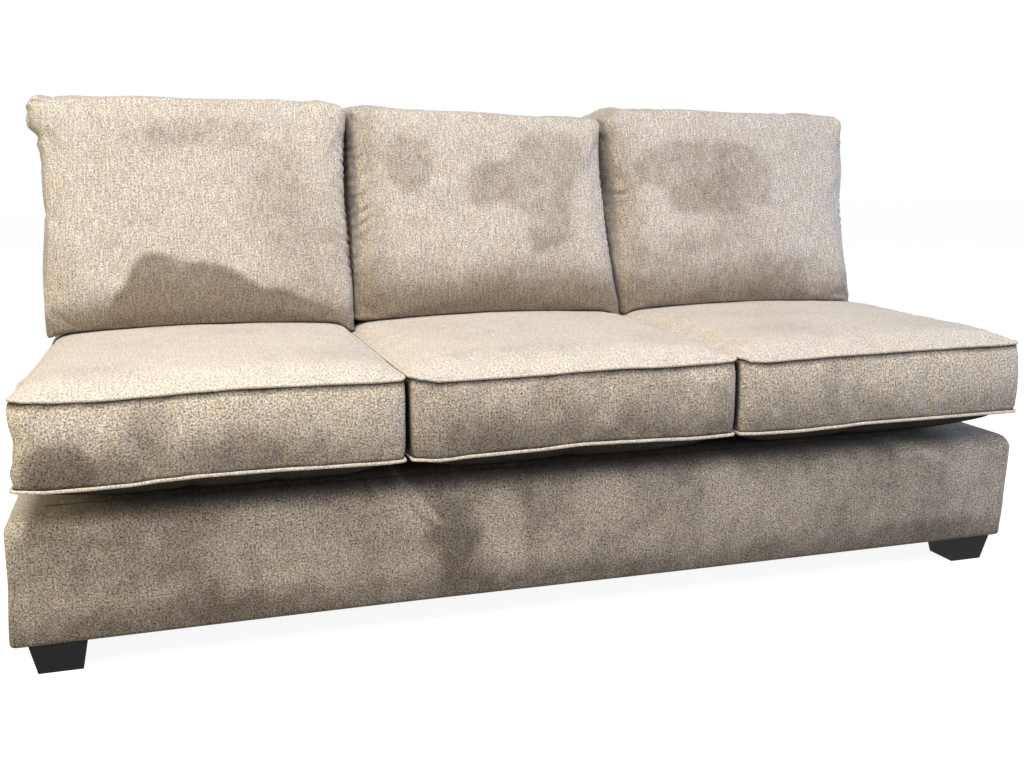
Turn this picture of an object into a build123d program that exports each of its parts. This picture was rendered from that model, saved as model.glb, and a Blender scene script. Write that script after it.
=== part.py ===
"""Armless three-seat sofa with loose welted seat cushions and loose back cushions.

X runs along the sofa, the seat faces -Y and +Z is up. The origin is on the floor, at the middle of
the footprint. All sizes are in millimetres and all angles in degrees.
"""

import os
from math import cos, radians, tan

from build123d import *

# ------------------------------------------------------------------ the whole sofa
seat_count = 3
seat_pitch = 630  # from one seat to the next
base_margin = 37  # the base runs this far past the seats at each end
base_depth = 878  # front band to outside back
base_height = 225  # underside of the base to the top of its band
leg_height = 54
seat_overhang = 60  # the seat cushions stand this far in front of the base
back_height = 762  # floor to the top of the upholstered back
back_inset = 42  # the back is narrower than the base by this much at each end
back_rake = 13  # lean of the inside back
seat_floor_depth = 647  # front band to the foot of the inside back
row_shift = -6  # the two rows of loose cushions lie a little to the left

# ------------------------------------------------------------------ upholstery layers
fabric = 2
edge_padding = 10  # on the front, the ends and the top edge of the base
corner_radius = 30  # front corners of the base, seen from above
roll_radius = 25  # rounded top edge of the base
band_lip = 60  # the band's fabric turns this far in over the top
under_turn = 30  # and this far in under the base
dust_cover_thickness = 1
dust_cover_inset = 15
deck_rise = 6  # the seat deck swells above the band
deck_cloth_thickness = 1
insulator_thickness = 3
back_padding_thickness = 25
back_top_padding = 12
back_end_padding = 6
back_edge_radius = 20
board_thickness = 3

# ------------------------------------------------------------------ timber frame
rail_thickness = 19
post_thickness = 25
cross_rail_height = 120
tack_rail_height = 70
tack_rail_thickness = 22
tack_rail_rise = 20  # above the seat deck
top_rail_thickness = 27
block_size = 110
block_thickness = 45
joint_clearance = 0.3

# ------------------------------------------------------------------ springs and webbing
springs_per_seat = 4
spring_wire = 3.6  # diameter
spring_turn = 17  # radius of each bend
spring_bar = 26  # straight stretch between two bends
clip_metal = 1.2
clip_width = 34
clip_depth = 12
tie_wire = 2.4  # diameter
tie_wire_count = 2
straps_per_seat = 3
strap_width = 60
strap_thickness = 1.5

# ------------------------------------------------------------------ legs
leg_top = 93  # square
leg_bottom = 72
leg_setback = 8  # behind the front band, and in from the outside back
leg_end_setback = 23.5  # in from the ends of the base
leg_bolt = 8  # diameter
bolt_in_leg = 34
bolt_in_block = 18
thread_gap = 0.05
plate_size = 44
plate_thickness = 2.5
plate_hub = 14  # diameter
plate_hub_height = 12
screw_shank = 4
screw_length = 16
screw_head = 7.6
screw_head_height = 1.4
screw_spacing = 30

# ------------------------------------------------------------------ loose cushions
seat_boxing = 140  # side wall, between the two welts
seat_corner = 28
seat_cover = 4  # fabric with its fibre wrap
seat_back_clearance = 2
welt_radius = 3.5
rest_gap = 0.3  # between a cushion and what it lies on or beside
core_gap = 0.3
# Crowns of a seat cushion: (height past the welt, distance in from the edge)
top_crown = [(0, 0), (11, 18), (18, 50), (22, 110)]
under_crown = [(0, 0), (14, 27), (34, 80), (57, 190)]
back_row_inset = 6  # the row of back cushions ends this far inside the back
back_middle_trim = 20  # the middle back cushion is this much narrower than a seat
back_cushion_height = 472
back_cushion_thickness = 175
back_cushion_radius = 40
back_cover = 4

# ------------------------------------------------------------------ zips
seat_zip_length = 500
back_zip_length = 460
zip_tape = 26
tape_thickness = 1.2
zip_coil = 4.5
coil_thickness = 1.6
slider_length = 14
slider_width = 11
slider_thickness = 4.5
pull_length = 20
pull_width = 6
pull_thickness = 1
slider_clearance = 0.3
back_zip_setback = 14  # from the start of the rounded rear edge to the middle of the tape

# ------------------------------------------------------------------ planes worked out from the sizes
base_half = seat_count * seat_pitch / 2 + base_margin
back_half = base_half - back_inset
back_middle_width = seat_pitch - back_middle_trim
back_end_width = back_half - back_row_inset - back_middle_width / 2
leg_centre = base_half - leg_end_setback - leg_top / 2
overall_depth = base_depth + seat_overhang
base_front = seat_overhang - overall_depth / 2
base_rear = overall_depth / 2
base_bottom = leg_height + dust_cover_thickness
base_top = leg_height + base_height
frame_bottom = base_bottom + fabric
back_foot = base_front + seat_floor_depth

deck_top = base_top + deck_rise
wire_level_room = clip_metal + spring_wire + clip_metal
insulator_top = base_top - fabric - edge_padding
insulator_bottom = insulator_top - insulator_thickness
rail_top = insulator_bottom - wire_level_room
wire_level = rail_top + clip_metal + spring_wire / 2

frame_inset = fabric + edge_padding
front_rail_inner = base_front + frame_inset + rail_thickness
end_rail_inner = base_half - frame_inset - rail_thickness
rear_rail_outer = base_rear - fabric
rear_rail_inner = rear_rail_outer - rail_thickness
back_frame_depth = fabric + back_padding_thickness + strap_thickness  # behind the inside back's face
post_foot = back_foot + back_frame_depth / cos(radians(back_rake))
spring_rail_front = post_foot - rail_thickness
top_rail_top = back_height - fabric - back_top_padding
top_rail_bottom = top_rail_top - top_rail_thickness
board_front = rear_rail_outer - board_thickness
end_post_outer = back_half - fabric - back_end_padding

seat_under = deck_top + rest_gap
seat_low_welt = seat_under + under_crown[-1][0]
seat_high_welt = seat_low_welt + seat_boxing
seat_top = seat_high_welt + top_crown[-1][0]

overlap = 1  # how far a cutting solid runs past the face that it cuts


def face_y(z, depth=0):
    """Y, at height z, of the plane that lies this far behind the face of the inside back."""
    return back_foot + (z - deck_top) * tan(radians(back_rake)) + depth / cos(radians(back_rake))


def box_between(low, high, mode=Mode.ADD):
    """A block from its lowest to its highest corner."""
    size = [b - a for a, b in zip(low, high)]
    middle = [(a + b) / 2 for a, b in zip(low, high)]
    with Locations(tuple(middle)):
        Box(*size, mode=mode)


def outline_yz(points):
    """A flat outline of (y, z) points, across the sofa's middle."""
    with BuildSketch(Plane.YZ) as outline:
        with BuildLine():
            Polyline(*points, close=True)
        make_face()
    return outline.sketch


def carry_along_x(points, x_low, x_high, mode=Mode.ADD):
    """A closed outline of (y, z) points, carried along X."""
    extrude(outline_yz(points).moved(Location((x_low, 0, 0))), amount=x_high - x_low, mode=mode)


def save(piece, name):
    piece.part.label = name
    export_step(piece.part, f"parts/{name}.step")


os.makedirs("parts", exist_ok=True)


# ================================================================== timber frame
with BuildPart() as front_rail:
    box_between(
        (-end_rail_inner - rail_thickness, front_rail_inner - rail_thickness, frame_bottom),
        (end_rail_inner + rail_thickness, front_rail_inner, rail_top),
    )
save(front_rail, "front_rail")

for side, sign in (("left", -1), ("right", 1)):
    near, far = sorted((sign * end_rail_inner, sign * (end_rail_inner + rail_thickness)))
    with BuildPart() as end_rail:
        box_between((near, front_rail_inner, frame_bottom), (far, rear_rail_outer, rail_top))
    save(end_rail, f"end_rail_{side}")

with BuildPart() as rear_rail:
    box_between(
        (-end_rail_inner, rear_rail_inner, frame_bottom), (end_rail_inner, rear_rail_outer, rail_top)
    )
save(rear_rail, "rear_rail")

with BuildPart() as spring_rail:
    box_between(
        (-end_rail_inner, spring_rail_front, frame_bottom), (end_rail_inner, post_foot, rail_top)
    )
save(spring_rail, "spring_rail")

for side, sign in (("left", -1), ("right", 1)):
    middle = sign * seat_pitch / 2
    with BuildPart() as cross_rail:
        box_between(
            (middle - rail_thickness / 2, front_rail_inner, frame_bottom),
            (middle + rail_thickness / 2, spring_rail_front, frame_bottom + cross_rail_height),
        )
    save(cross_rail, f"cross_rail_{side}")

# The back posts stand behind the spring rail, hook over the rear rail and carry the top rail. A notch
# in their leaning front edge takes the tack rail.
tack_rail_low = deck_top + tack_rail_rise
tack_rail_high = tack_rail_low + tack_rail_height


def leaning_outline(z_low, z_high, front_depth, rear_depth):
    """A four-sided (y, z) outline with level ends, between two planes that lean with the back."""
    return [
        (face_y(z_low, front_depth), z_low),
        (face_y(z_high, front_depth), z_high),
        (face_y(z_high, rear_depth), z_high),
        (face_y(z_low, rear_depth), z_low),
    ]


def post_outline(foot_level):
    return [
        (post_foot, foot_level),
        (post_foot, deck_top),
        (face_y(top_rail_bottom, back_frame_depth), top_rail_bottom),
        (board_front, top_rail_bottom),
        (board_front, rail_top),
        (rear_rail_inner, rail_top),
        (rear_rail_inner, foot_level),
    ]


post_places = {
    "back_post_left": (-end_post_outer, frame_bottom + block_thickness),
    "back_stile_left": (-(seat_pitch + post_thickness) / 2, frame_bottom),
    "back_stile_right": ((seat_pitch - post_thickness) / 2, frame_bottom),
    "back_post_right": (end_post_outer - post_thickness, frame_bottom + block_thickness),
}
tack_rail_rear = back_frame_depth + tack_rail_thickness
for name, (x_low, foot_level) in post_places.items():
    with BuildPart() as post:
        carry_along_x(post_outline(foot_level), x_low, x_low + post_thickness)
        carry_along_x(
            leaning_outline(
                tack_rail_low - joint_clearance,
                tack_rail_high + joint_clearance,
                back_frame_depth - overlap,
                tack_rail_rear + joint_clearance,
            ),
            x_low - overlap,
            x_low + post_thickness + overlap,
            Mode.SUBTRACT,
        )
    save(post, name)

with BuildPart() as tack_rail:
    carry_along_x(
        leaning_outline(tack_rail_low, tack_rail_high, back_frame_depth, tack_rail_rear),
        -end_post_outer,
        end_post_outer,
    )
save(tack_rail, "tack_rail")

with BuildPart() as back_top_rail:
    top_rail_outline = [
        (face_y(top_rail_bottom, back_frame_depth), top_rail_bottom),
        (face_y(top_rail_top, back_frame_depth), top_rail_top),
        (board_front, top_rail_top),
        (board_front, top_rail_bottom),
    ]
    carry_along_x(top_rail_outline, -end_post_outer, end_post_outer)
save(back_top_rail, "back_top_rail")

# ================================================================== legs and their fixings
leg_rows = (
    base_front + leg_setback + leg_top / 2,
    base_rear - leg_setback - leg_top / 2,
)
leg_places = [(x, y) for y in leg_rows for x in (-leg_centre, leg_centre)]
leg_names = ("leg_front_left", "leg_front_right", "leg_rear_left", "leg_rear_right")
plate_screws = GridLocations(screw_spacing, screw_spacing, 2, 2).local_locations

for name, (x, y) in zip(leg_names, leg_places):
    with BuildPart() as leg:
        with BuildSketch(Plane((x, y, 0))):
            Rectangle(leg_bottom, leg_bottom)
        with BuildSketch(Plane((x, y, leg_height))):
            Rectangle(leg_top, leg_top)
        loft()
        with Locations((x, y, leg_height)):
            Hole(leg_bolt / 2 + thread_gap, bolt_in_leg + overlap)
    save(leg, name)

with BuildPart() as corner_blocks:
    for x, y in leg_places:
        x_outer = end_rail_inner if x > 0 else -end_rail_inner
        x_inner = x_outer - block_size if x > 0 else x_outer + block_size
        y_outer = front_rail_inner if y < 0 else rear_rail_inner
        y_inner = y_outer + block_size if y < 0 else y_outer - block_size
        (x_low, x_high), (y_low, y_high) = sorted((x_outer, x_inner)), sorted((y_outer, y_inner))
        block_top = frame_bottom + block_thickness
        box_between((x_low, y_low, frame_bottom), (x_high, y_high, block_top))
        plate_top = frame_bottom + plate_thickness
        with Locations((x, y, frame_bottom)):
            Box(
                plate_size + 2 * joint_clearance,
                plate_size + 2 * joint_clearance,
                2 * plate_thickness,
                mode=Mode.SUBTRACT,
            )
        with BuildSketch(Plane((x, y, plate_top))):
            Circle(plate_hub / 2 + joint_clearance)
        extrude(amount=plate_hub_height, mode=Mode.SUBTRACT)
        with BuildSketch(Plane((x, y, plate_top))):
            Circle(leg_bolt / 2 + joint_clearance)
        extrude(amount=bolt_in_block + overlap, mode=Mode.SUBTRACT)
        with BuildSketch(Plane((x, y, plate_top))):
            with Locations(*plate_screws):
                Circle(screw_shank / 2 + thread_gap)
        extrude(amount=screw_length + overlap, mode=Mode.SUBTRACT)
save(corner_blocks, "corner_blocks")

with BuildPart() as leg_plates:
    for x, y in leg_places:
        with BuildSketch(Plane((x, y, frame_bottom))):
            Rectangle(plate_size, plate_size)
        extrude(amount=plate_thickness)
        with BuildSketch(Plane((x, y, frame_bottom + plate_thickness))):
            Circle(plate_hub / 2)
        extrude(amount=plate_hub_height - joint_clearance)
        with BuildSketch(Plane((x, y, frame_bottom))):
            Circle(leg_bolt / 2 + thread_gap)
            with Locations(*plate_screws):
                Circle(screw_shank / 2 + thread_gap)
        extrude(amount=plate_thickness + plate_hub_height, mode=Mode.SUBTRACT)

with BuildPart() as leg_plate_screws:
    for x, y in leg_places:
        with BuildSketch(Plane((x, y, frame_bottom - thread_gap))):
            with Locations(*plate_screws):
                Circle(screw_shank / 2)
        extrude(amount=screw_length)
        with BuildSketch(Plane((x, y, frame_bottom - thread_gap))):
            with Locations(*plate_screws):
                Circle(screw_head / 2)
        extrude(amount=-screw_head_height)

with BuildPart() as leg_bolts:
    for x, y in leg_places:
        with BuildSketch(Plane((x, y, leg_height - bolt_in_leg))):
            Circle(leg_bolt / 2)
        extrude(amount=bolt_in_leg + dust_cover_thickness + fabric + bolt_in_block)

# The steel fixings of the four legs stay separate pieces and share one file.
with BuildPart() as leg_fixings:
    add([leg_plates.part, leg_plate_screws.part, leg_bolts.part])
save(leg_fixings, "leg_fixings")


# ================================================================== seat springs
def spring_wire_path(x_middle):
    """The level zigzag of one seat spring: bars across, joined by half turns, from rail to rail."""
    first_bar = front_rail_inner - clip_depth / 2
    last_bar = spring_rail_front + clip_depth / 2
    turns = int((last_bar - first_bar) / (2 * spring_turn))
    pitch = (last_bar - first_bar) / turns
    half_bar = spring_bar / 2
    with BuildLine(Plane.XY.offset(wire_level)) as path:
        for n in range(turns + 1):
            y = first_bar + n * pitch
            way = 1 if n % 2 == 0 else -1
            Line((x_middle - way * half_bar, y), (x_middle + way * half_bar, y))
            if n < turns:
                ThreePointArc(
                    (x_middle + way * half_bar, y),
                    (x_middle + way * (half_bar + pitch / 2), y + pitch / 2),
                    (x_middle + way * half_bar, y + pitch),
                )
    return path.wire()


spring_spacing = seat_pitch / springs_per_seat
spring_total = springs_per_seat * seat_count
spring_xs = [(n - (spring_total - 1) / 2) * spring_spacing for n in range(spring_total)]
clip_rows = (front_rail_inner - clip_depth / 2, spring_rail_front + clip_depth / 2)

with BuildPart() as one_spring:
    spring_path = spring_wire_path(0)
    with BuildSketch(Plane(spring_path @ 0, z_dir=spring_path % 0)):
        Circle(spring_wire / 2)
    sweep(path=spring_path)

with BuildPart() as seat_springs:
    with Locations(*[(x, 0, 0) for x in spring_xs]):
        add(one_spring.part)
save(seat_springs, "seat_springs")

# Each clip is a folded strip on top of a rail, open towards the seat, around the spring's last bar.
with BuildPart() as spring_clips:
    for row, y in enumerate(clip_rows):
        open_side = 1 if row == 0 else -1
        for x in spring_xs:
            with Locations((x, y, rail_top + wire_level_room / 2)):
                Box(clip_width, clip_depth, wire_level_room)
            slot_room = spring_wire + 2 * joint_clearance
            with Locations((x, y + open_side * (clip_depth - slot_room) / 2, wire_level)):
                Box(
                    clip_width + 2 * overlap,
                    clip_depth,
                    spring_wire + joint_clearance,
                    mode=Mode.SUBTRACT,
                )
save(spring_clips, "spring_clips")

with BuildPart() as tie_wires:
    spring_span = spring_rail_front - front_rail_inner
    tie_level = wire_level - (spring_wire + tie_wire) / 2 - joint_clearance
    for n in range(tie_wire_count):
        y = front_rail_inner + spring_span * (n + 1) / (tie_wire_count + 1)
        with Locations((0, y, tie_level)):
            Cylinder(tie_wire / 2, 2 * end_rail_inner, rotation=(0, 90, 0))
save(tie_wires, "tie_wires")

# ================================================================== seat deck
# The deck shows inside the band's turned-in edge.
deck_rear = face_y(base_top) - rest_gap

with BuildPart() as spring_insulator:
    box_between(
        (-end_rail_inner, front_rail_inner - rail_thickness + overlap, insulator_bottom),
        (end_rail_inner, deck_rear, insulator_top),
    )
save(spring_insulator, "spring_insulator")

with BuildPart() as deck_foam:
    box_between(
        (-base_half + band_lip, base_front + band_lip, insulator_top),
        (base_half - band_lip, deck_rear, deck_top - deck_cloth_thickness),
    )
save(deck_foam, "deck_foam")

with BuildPart() as deck_cloth:
    box_between(
        (-base_half + band_lip, base_front + band_lip, deck_top - deck_cloth_thickness),
        (base_half - band_lip, deck_rear, deck_top),
    )
save(deck_cloth, "deck_cloth")


# ================================================================== base upholstery
def base_block(inset, bottom, rear):
    """The upholstered base as a solid block, with its front corners and its top edge rounded."""
    with BuildPart() as block:
        box_between(
            (-base_half + inset, base_front + inset, bottom), (base_half - inset, rear, base_top - inset)
        )
        upright = block.edges().filter_by(Axis.Z).group_by(Axis.Y)[0]
        fillet(upright, corner_radius - inset)
        top_edges = block.faces().sort_by(Axis.Z)[-1].edges()
        fillet(top_edges.sort_by(Axis.Y)[:-1], roll_radius - inset)
    return block.part


def cut_deck_opening():
    """The room that the deck and the back posts take out of the padding and the band."""
    box_between(
        (-base_half + band_lip, base_front + band_lip, insulator_top),
        (base_half - band_lip, base_rear + overlap, base_top + overlap),
        Mode.SUBTRACT,
    )
    box_between(
        (-end_post_outer - joint_clearance, post_foot - joint_clearance, insulator_top),
        (end_post_outer + joint_clearance, base_rear + overlap, base_top + overlap),
        Mode.SUBTRACT,
    )


with BuildPart() as base_padding:
    add(base_block(fabric, frame_bottom, rear_rail_outer))
    box_between(
        (-base_half + frame_inset, base_front + frame_inset, frame_bottom - overlap),
        (base_half - frame_inset, base_rear, insulator_top),
        Mode.SUBTRACT,
    )
    cut_deck_opening()
save(base_padding, "base_padding")

with BuildPart() as base_cover:
    add(base_block(0, base_bottom, rear_rail_outer))
    add(base_block(fabric, frame_bottom, base_rear), mode=Mode.SUBTRACT)
    box_between(
        (-base_half + under_turn, base_front + under_turn, base_bottom - overlap),
        (base_half - under_turn, base_rear, frame_bottom + overlap),
        Mode.SUBTRACT,
    )
    cut_deck_opening()
save(base_cover, "base_cover")

with BuildPart() as dust_cover:
    box_between(
        (-base_half + dust_cover_inset, base_front + dust_cover_inset, leg_height),
        (base_half - dust_cover_inset, base_rear - dust_cover_inset, base_bottom),
    )
    with BuildSketch(Plane.XY.offset(leg_height)):
        with Locations(*leg_places):
            Circle(leg_bolt / 2 + joint_clearance)
    extrude(amount=dust_cover_thickness, mode=Mode.SUBTRACT)
save(dust_cover, "dust_cover")

# ================================================================== upholstered back
with BuildPart() as back_webbing:
    strap_low, strap_high = tack_rail_low, top_rail_top
    strap_total = straps_per_seat * seat_count
    strap_spacing = seat_pitch / straps_per_seat
    strap_front = back_frame_depth - strap_thickness
    for n in range(strap_total):
        x = (n - (strap_total - 1) / 2) * strap_spacing
        carry_along_x(
            leaning_outline(strap_low, strap_high, strap_front, back_frame_depth),
            x - strap_width / 2,
            x + strap_width / 2,
        )
save(back_webbing, "back_webbing")


def back_block(inset, bottom, rear):
    """The upholstered back as a solid block with a leaning front and rounded front and top edges."""
    top = back_height - inset
    outline = [(face_y(bottom, inset), bottom), (face_y(top, inset), top), (rear, top), (rear, bottom)]
    with BuildPart() as block:
        carry_along_x(outline, -back_half + inset, back_half - inset)
        front = block.faces().sort_by(Axis.Y)[0].edges().sort_by(Axis.Z)[1:]
        top_ends = block.faces().sort_by(Axis.Z)[-1].edges().filter_by(Axis.Y)
        fillet(front + top_ends, back_edge_radius - inset)
    return block.part


with BuildPart() as back_padding:
    add(back_block(fabric, base_top, board_front))
    core_front = fabric + back_padding_thickness
    core_outline = [
        (face_y(base_top - overlap, core_front), base_top - overlap),
        (face_y(top_rail_top, core_front), top_rail_top),
        (base_rear, top_rail_top),
        (base_rear, base_top - overlap),
    ]
    carry_along_x(core_outline, -end_post_outer, end_post_outer, Mode.SUBTRACT)
save(back_padding, "back_padding")

with BuildPart() as inside_back_cover:
    add(back_block(0, base_top, rear_rail_outer))
    add(back_block(fabric, base_top - overlap, base_rear), mode=Mode.SUBTRACT)
save(inside_back_cover, "inside_back_cover")

with BuildPart() as outside_back_board:
    box_between(
        (-back_half + fabric, board_front, base_top),
        (back_half - fabric, rear_rail_outer, back_height - back_edge_radius),
    )
save(outside_back_board, "outside_back_board")

with BuildPart() as outside_back_cover:
    with BuildSketch(Plane.XZ.offset(-base_rear)) as rear_outline:
        with BuildLine():
            Polyline(
                (-base_half, base_bottom),
                (base_half, base_bottom),
                (base_half, base_top),
                (back_half, base_top),
                (back_half, back_height),
                (-back_half, back_height),
                (-back_half, base_top),
                (-base_half, base_top),
                close=True,
            )
        make_face()
        corners = rear_outline.vertices()
        fillet(corners.group_by(Axis.Y)[-1], back_edge_radius)
        base_corners = corners.filter_by_position(Axis.Y, base_top - overlap, base_top + overlap)
        fillet([v for v in base_corners if abs(v.X) > back_half + overlap], roll_radius)
    extrude(amount=fabric)
save(outside_back_cover, "outside_back_cover")


# ================================================================== zips
def zip_track(place, length):
    """A zip on a plane: its tape lies on the plane and its coil stands on the tape."""
    with BuildPart() as track:
        with BuildSketch(place):
            Rectangle(length, zip_tape)
        extrude(amount=tape_thickness)
        with BuildSketch(place.offset(tape_thickness)):
            Rectangle(length - 2 * slider_length, zip_coil)
        extrude(amount=coil_thickness)
    return track


def zip_slider(place, length):
    """The slider at the closed end of its zip: a body that straddles the coil, with a flat pull."""
    seat_level = tape_thickness + slider_clearance
    start = -length / 2 + 2 * slider_length
    with BuildPart() as slider:
        with BuildSketch(place.offset(seat_level)):
            with Locations((start, 0)):
                Rectangle(slider_length, slider_width)
        extrude(amount=slider_thickness)
        with BuildSketch(place.offset(seat_level)):
            with Locations((start, 0)):
                Rectangle(slider_length + 2 * overlap, zip_coil + 2 * slider_clearance)
        extrude(amount=coil_thickness, mode=Mode.SUBTRACT)
        with BuildSketch(place.offset(seat_level + slider_thickness)):
            with Locations((start + pull_length / 2 - slider_length / 2, 0)):
                SlotOverall(pull_length, pull_width)
        extrude(amount=pull_thickness)
    return slider


# ================================================================== seat cushions
cushion_names = ("left", "middle", "right")
seat_outer_front = base_front - seat_overhang
seat_outer_rear = face_y(seat_low_welt) - seat_back_clearance
seat_half = (seat_pitch - rest_gap) / 2 - welt_radius  # to the flat side wall
seat_front = seat_outer_front + welt_radius
seat_rear = seat_outer_rear - welt_radius
seat_middle = (seat_front + seat_rear) / 2
seat_length = seat_rear - seat_front


def seat_section(x, level, inset):
    """One level slice of a seat cushion, drawn in from its side walls."""
    with BuildSketch(Plane((x, seat_middle, level))) as section:
        RectangleRounded(2 * (seat_half - inset), seat_length - 2 * inset, seat_corner - seat_cover)
    return section.sketch


def seat_form(x, shrink):
    """A seat cushion's closed form, crowned above and below its side walls, shrunk all round."""
    low, high = seat_low_welt + shrink, seat_high_welt - shrink
    with BuildPart() as form:
        loft([seat_section(x, high + rise, shrink + inset) for rise, inset in top_crown])
        loft([seat_section(x, low - drop, shrink + inset) for drop, inset in under_crown])
        extrude(seat_section(x, low, shrink), amount=high - low)
    return form.part


def welt_rings(x, radius):
    """Two rings of piping, around the top and the bottom edge of the side walls."""
    with BuildPart() as rings:
        for level in (seat_low_welt, seat_high_welt):
            edge = seat_section(x, level, 0).face().outer_wire()
            with BuildSketch(Plane(edge @ 0, z_dir=edge % 0)):
                Circle(radius)
            sweep(path=edge)
    return rings


seat_zip_level = seat_low_welt + seat_boxing / 2
for number, side in enumerate(cushion_names):
    x = row_shift + (number - (seat_count - 1) / 2) * seat_pitch
    with BuildPart() as seat_cushion_cover:
        add(seat_form(x, 0))
        add(seat_form(x, seat_cover), mode=Mode.SUBTRACT)
        add(welt_rings(x, welt_radius + thread_gap).part, mode=Mode.SUBTRACT)
    save(seat_cushion_cover, f"seat_cover_{side}")
    with BuildPart() as seat_core:
        add(seat_form(x, seat_cover + core_gap))
    save(seat_core, f"seat_core_{side}")
    save(welt_rings(x, welt_radius), f"seat_welts_{side}")
    zip_place = Plane((x, seat_rear, seat_zip_level), x_dir=(1, 0, 0), z_dir=(0, 1, 0))
    save(zip_track(zip_place, seat_zip_length), f"seat_zip_{side}")
    save(zip_slider(zip_place, seat_zip_length), f"seat_zip_slider_{side}")

# ================================================================== back cushions
back_cushion_low = seat_top + rest_gap
back_cushion_high = back_cushion_low + back_cushion_height
back_widths = (back_end_width, back_middle_width, back_end_width)
back_centres = (
    row_shift - (back_middle_width + back_end_width) / 2,
    row_shift,
    row_shift + (back_middle_width + back_end_width) / 2,
)


def back_form(x, width, shrink):
    """A back cushion's closed form, level at both ends, leaning with the back, shrunk all round."""
    half = (width - rest_gap) / 2 - shrink
    outline = leaning_outline(
        back_cushion_low + shrink,
        back_cushion_high - shrink,
        shrink - rest_gap - back_cushion_thickness,
        -rest_gap - shrink,
    )
    with BuildPart() as form:
        carry_along_x(outline, x - half, x + half)
        fillet(form.edges(), back_cushion_radius - shrink)
    return form.part


back_zip_y = face_y(back_cushion_low, -rest_gap) - back_cushion_radius - back_zip_setback
for side, x, width in zip(cushion_names, back_centres, back_widths):
    with BuildPart() as back_cushion_cover:
        add(back_form(x, width, 0))
        add(back_form(x, width, back_cover), mode=Mode.SUBTRACT)
    save(back_cushion_cover, f"back_cover_{side}")
    with BuildPart() as back_fill:
        add(back_form(x, width, back_cover + core_gap))
    save(back_fill, f"back_fill_{side}")
    zip_place = Plane((x, back_zip_y, back_cushion_low), x_dir=(1, 0, 0), z_dir=(0, 0, -1))
    save(zip_track(zip_place, back_zip_length), f"back_zip_{side}")
    save(zip_slider(zip_place, back_zip_length), f"back_zip_slider_{side}")
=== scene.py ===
# %% [markdown]
# # A three-seat armless sofa in chenille
# The sofa has a low padded base on four block legs, three loose seat cushions with piped edges and
# three loose back cushions. Everything hard is already in the frame, at its real place and size, so
# this lesson makes what a frame maker can't: stuffed forms, cloth, piping and finishes.
# %% Tools and frame
import math

import bpy
import numpy as np
from mathutils import Matrix, Vector


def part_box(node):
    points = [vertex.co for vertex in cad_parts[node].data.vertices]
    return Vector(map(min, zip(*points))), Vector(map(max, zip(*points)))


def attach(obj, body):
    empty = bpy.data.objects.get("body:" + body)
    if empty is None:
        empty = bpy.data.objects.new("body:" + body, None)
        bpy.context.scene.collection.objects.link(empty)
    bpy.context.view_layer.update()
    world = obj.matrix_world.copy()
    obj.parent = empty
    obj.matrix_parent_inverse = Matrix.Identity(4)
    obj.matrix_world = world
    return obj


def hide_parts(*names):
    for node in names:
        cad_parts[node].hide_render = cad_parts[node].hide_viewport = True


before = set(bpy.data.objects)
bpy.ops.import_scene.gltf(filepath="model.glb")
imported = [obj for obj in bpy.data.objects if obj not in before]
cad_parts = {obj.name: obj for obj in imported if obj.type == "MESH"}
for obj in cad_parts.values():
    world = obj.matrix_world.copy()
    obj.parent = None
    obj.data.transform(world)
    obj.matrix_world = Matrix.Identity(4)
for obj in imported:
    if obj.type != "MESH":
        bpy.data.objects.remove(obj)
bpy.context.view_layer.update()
mm = 0.001
SIDES = ("left", "middle", "right")

# %% [markdown]
# The camera comes first. It stands a little left of the sofa's middle at eye height of someone sitting
# down, turned to the right and tipped down. A camera looks along its own -Z, so the three columns of
# its matrix are its right, its up and the way back from what it sees.
# %% Camera
camera_place = (-0.7118, -2.3247, 0.8363)
turn, tip, roll = 0.3006, 0.1898, 0.0031  # radians
lens, sensor = 39.773, 36  # mm

ahead = np.array([math.sin(turn) * math.cos(tip), math.cos(turn) * math.cos(tip), -math.sin(tip)])
level_right = np.array([math.cos(turn), -math.sin(turn), 0])
level_down = np.cross(ahead, level_right)
right = math.cos(roll) * level_right + math.sin(roll) * level_down
down = math.cos(roll) * level_down - math.sin(roll) * level_right

camera_data = bpy.data.cameras.new("camera")
camera_data.lens = lens
camera_data.sensor_width = sensor
camera = bpy.data.objects.new("camera", camera_data)
bpy.context.scene.collection.objects.link(camera)
camera.matrix_world = Matrix(np.column_stack([right, -down, -ahead]).tolist()).to_4x4()
camera.location = camera_place
bpy.context.scene.camera = camera
print("camera:", lens, "mm at", camera_place)

# %% [markdown]
# A material, the world and the floor are each a tree of nodes. These tools add a node and join it in one
# line, so that a finish further down reads as a few sums. What is the same all over a surface is set on
# the shader itself, and only what changes from place to place is a node.
# %% Node tools
def add_node(tree, kind, inputs=None, **settings):
    """Adds a shader node. Each input takes a socket to join to or a fixed value."""
    made = tree.nodes.new(f"ShaderNode{kind}")
    for name, value in settings.items():
        setattr(made, name, value)
    for key, value in (inputs or {}).items():
        if isinstance(value, bpy.types.NodeSocket):
            tree.links.new(value, made.inputs[key])
        else:
            made.inputs[key].default_value = value
    return made


def new_group(name, inputs, outputs):
    """A node group with named inputs (kind, start value) and outputs (kind)."""
    tree = bpy.data.node_groups.new(name, "ShaderNodeTree")
    for key, (kind, start) in inputs.items():
        socket = tree.interface.new_socket(name=key, in_out="INPUT", socket_type=f"NodeSocket{kind}")
        if start is not None:
            socket.default_value = start
    for key, kind in outputs.items():
        tree.interface.new_socket(name=key, in_out="OUTPUT", socket_type=f"NodeSocket{kind}")
    return tree, tree.nodes.new("NodeGroupInput").outputs, tree.nodes.new("NodeGroupOutput").inputs


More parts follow.
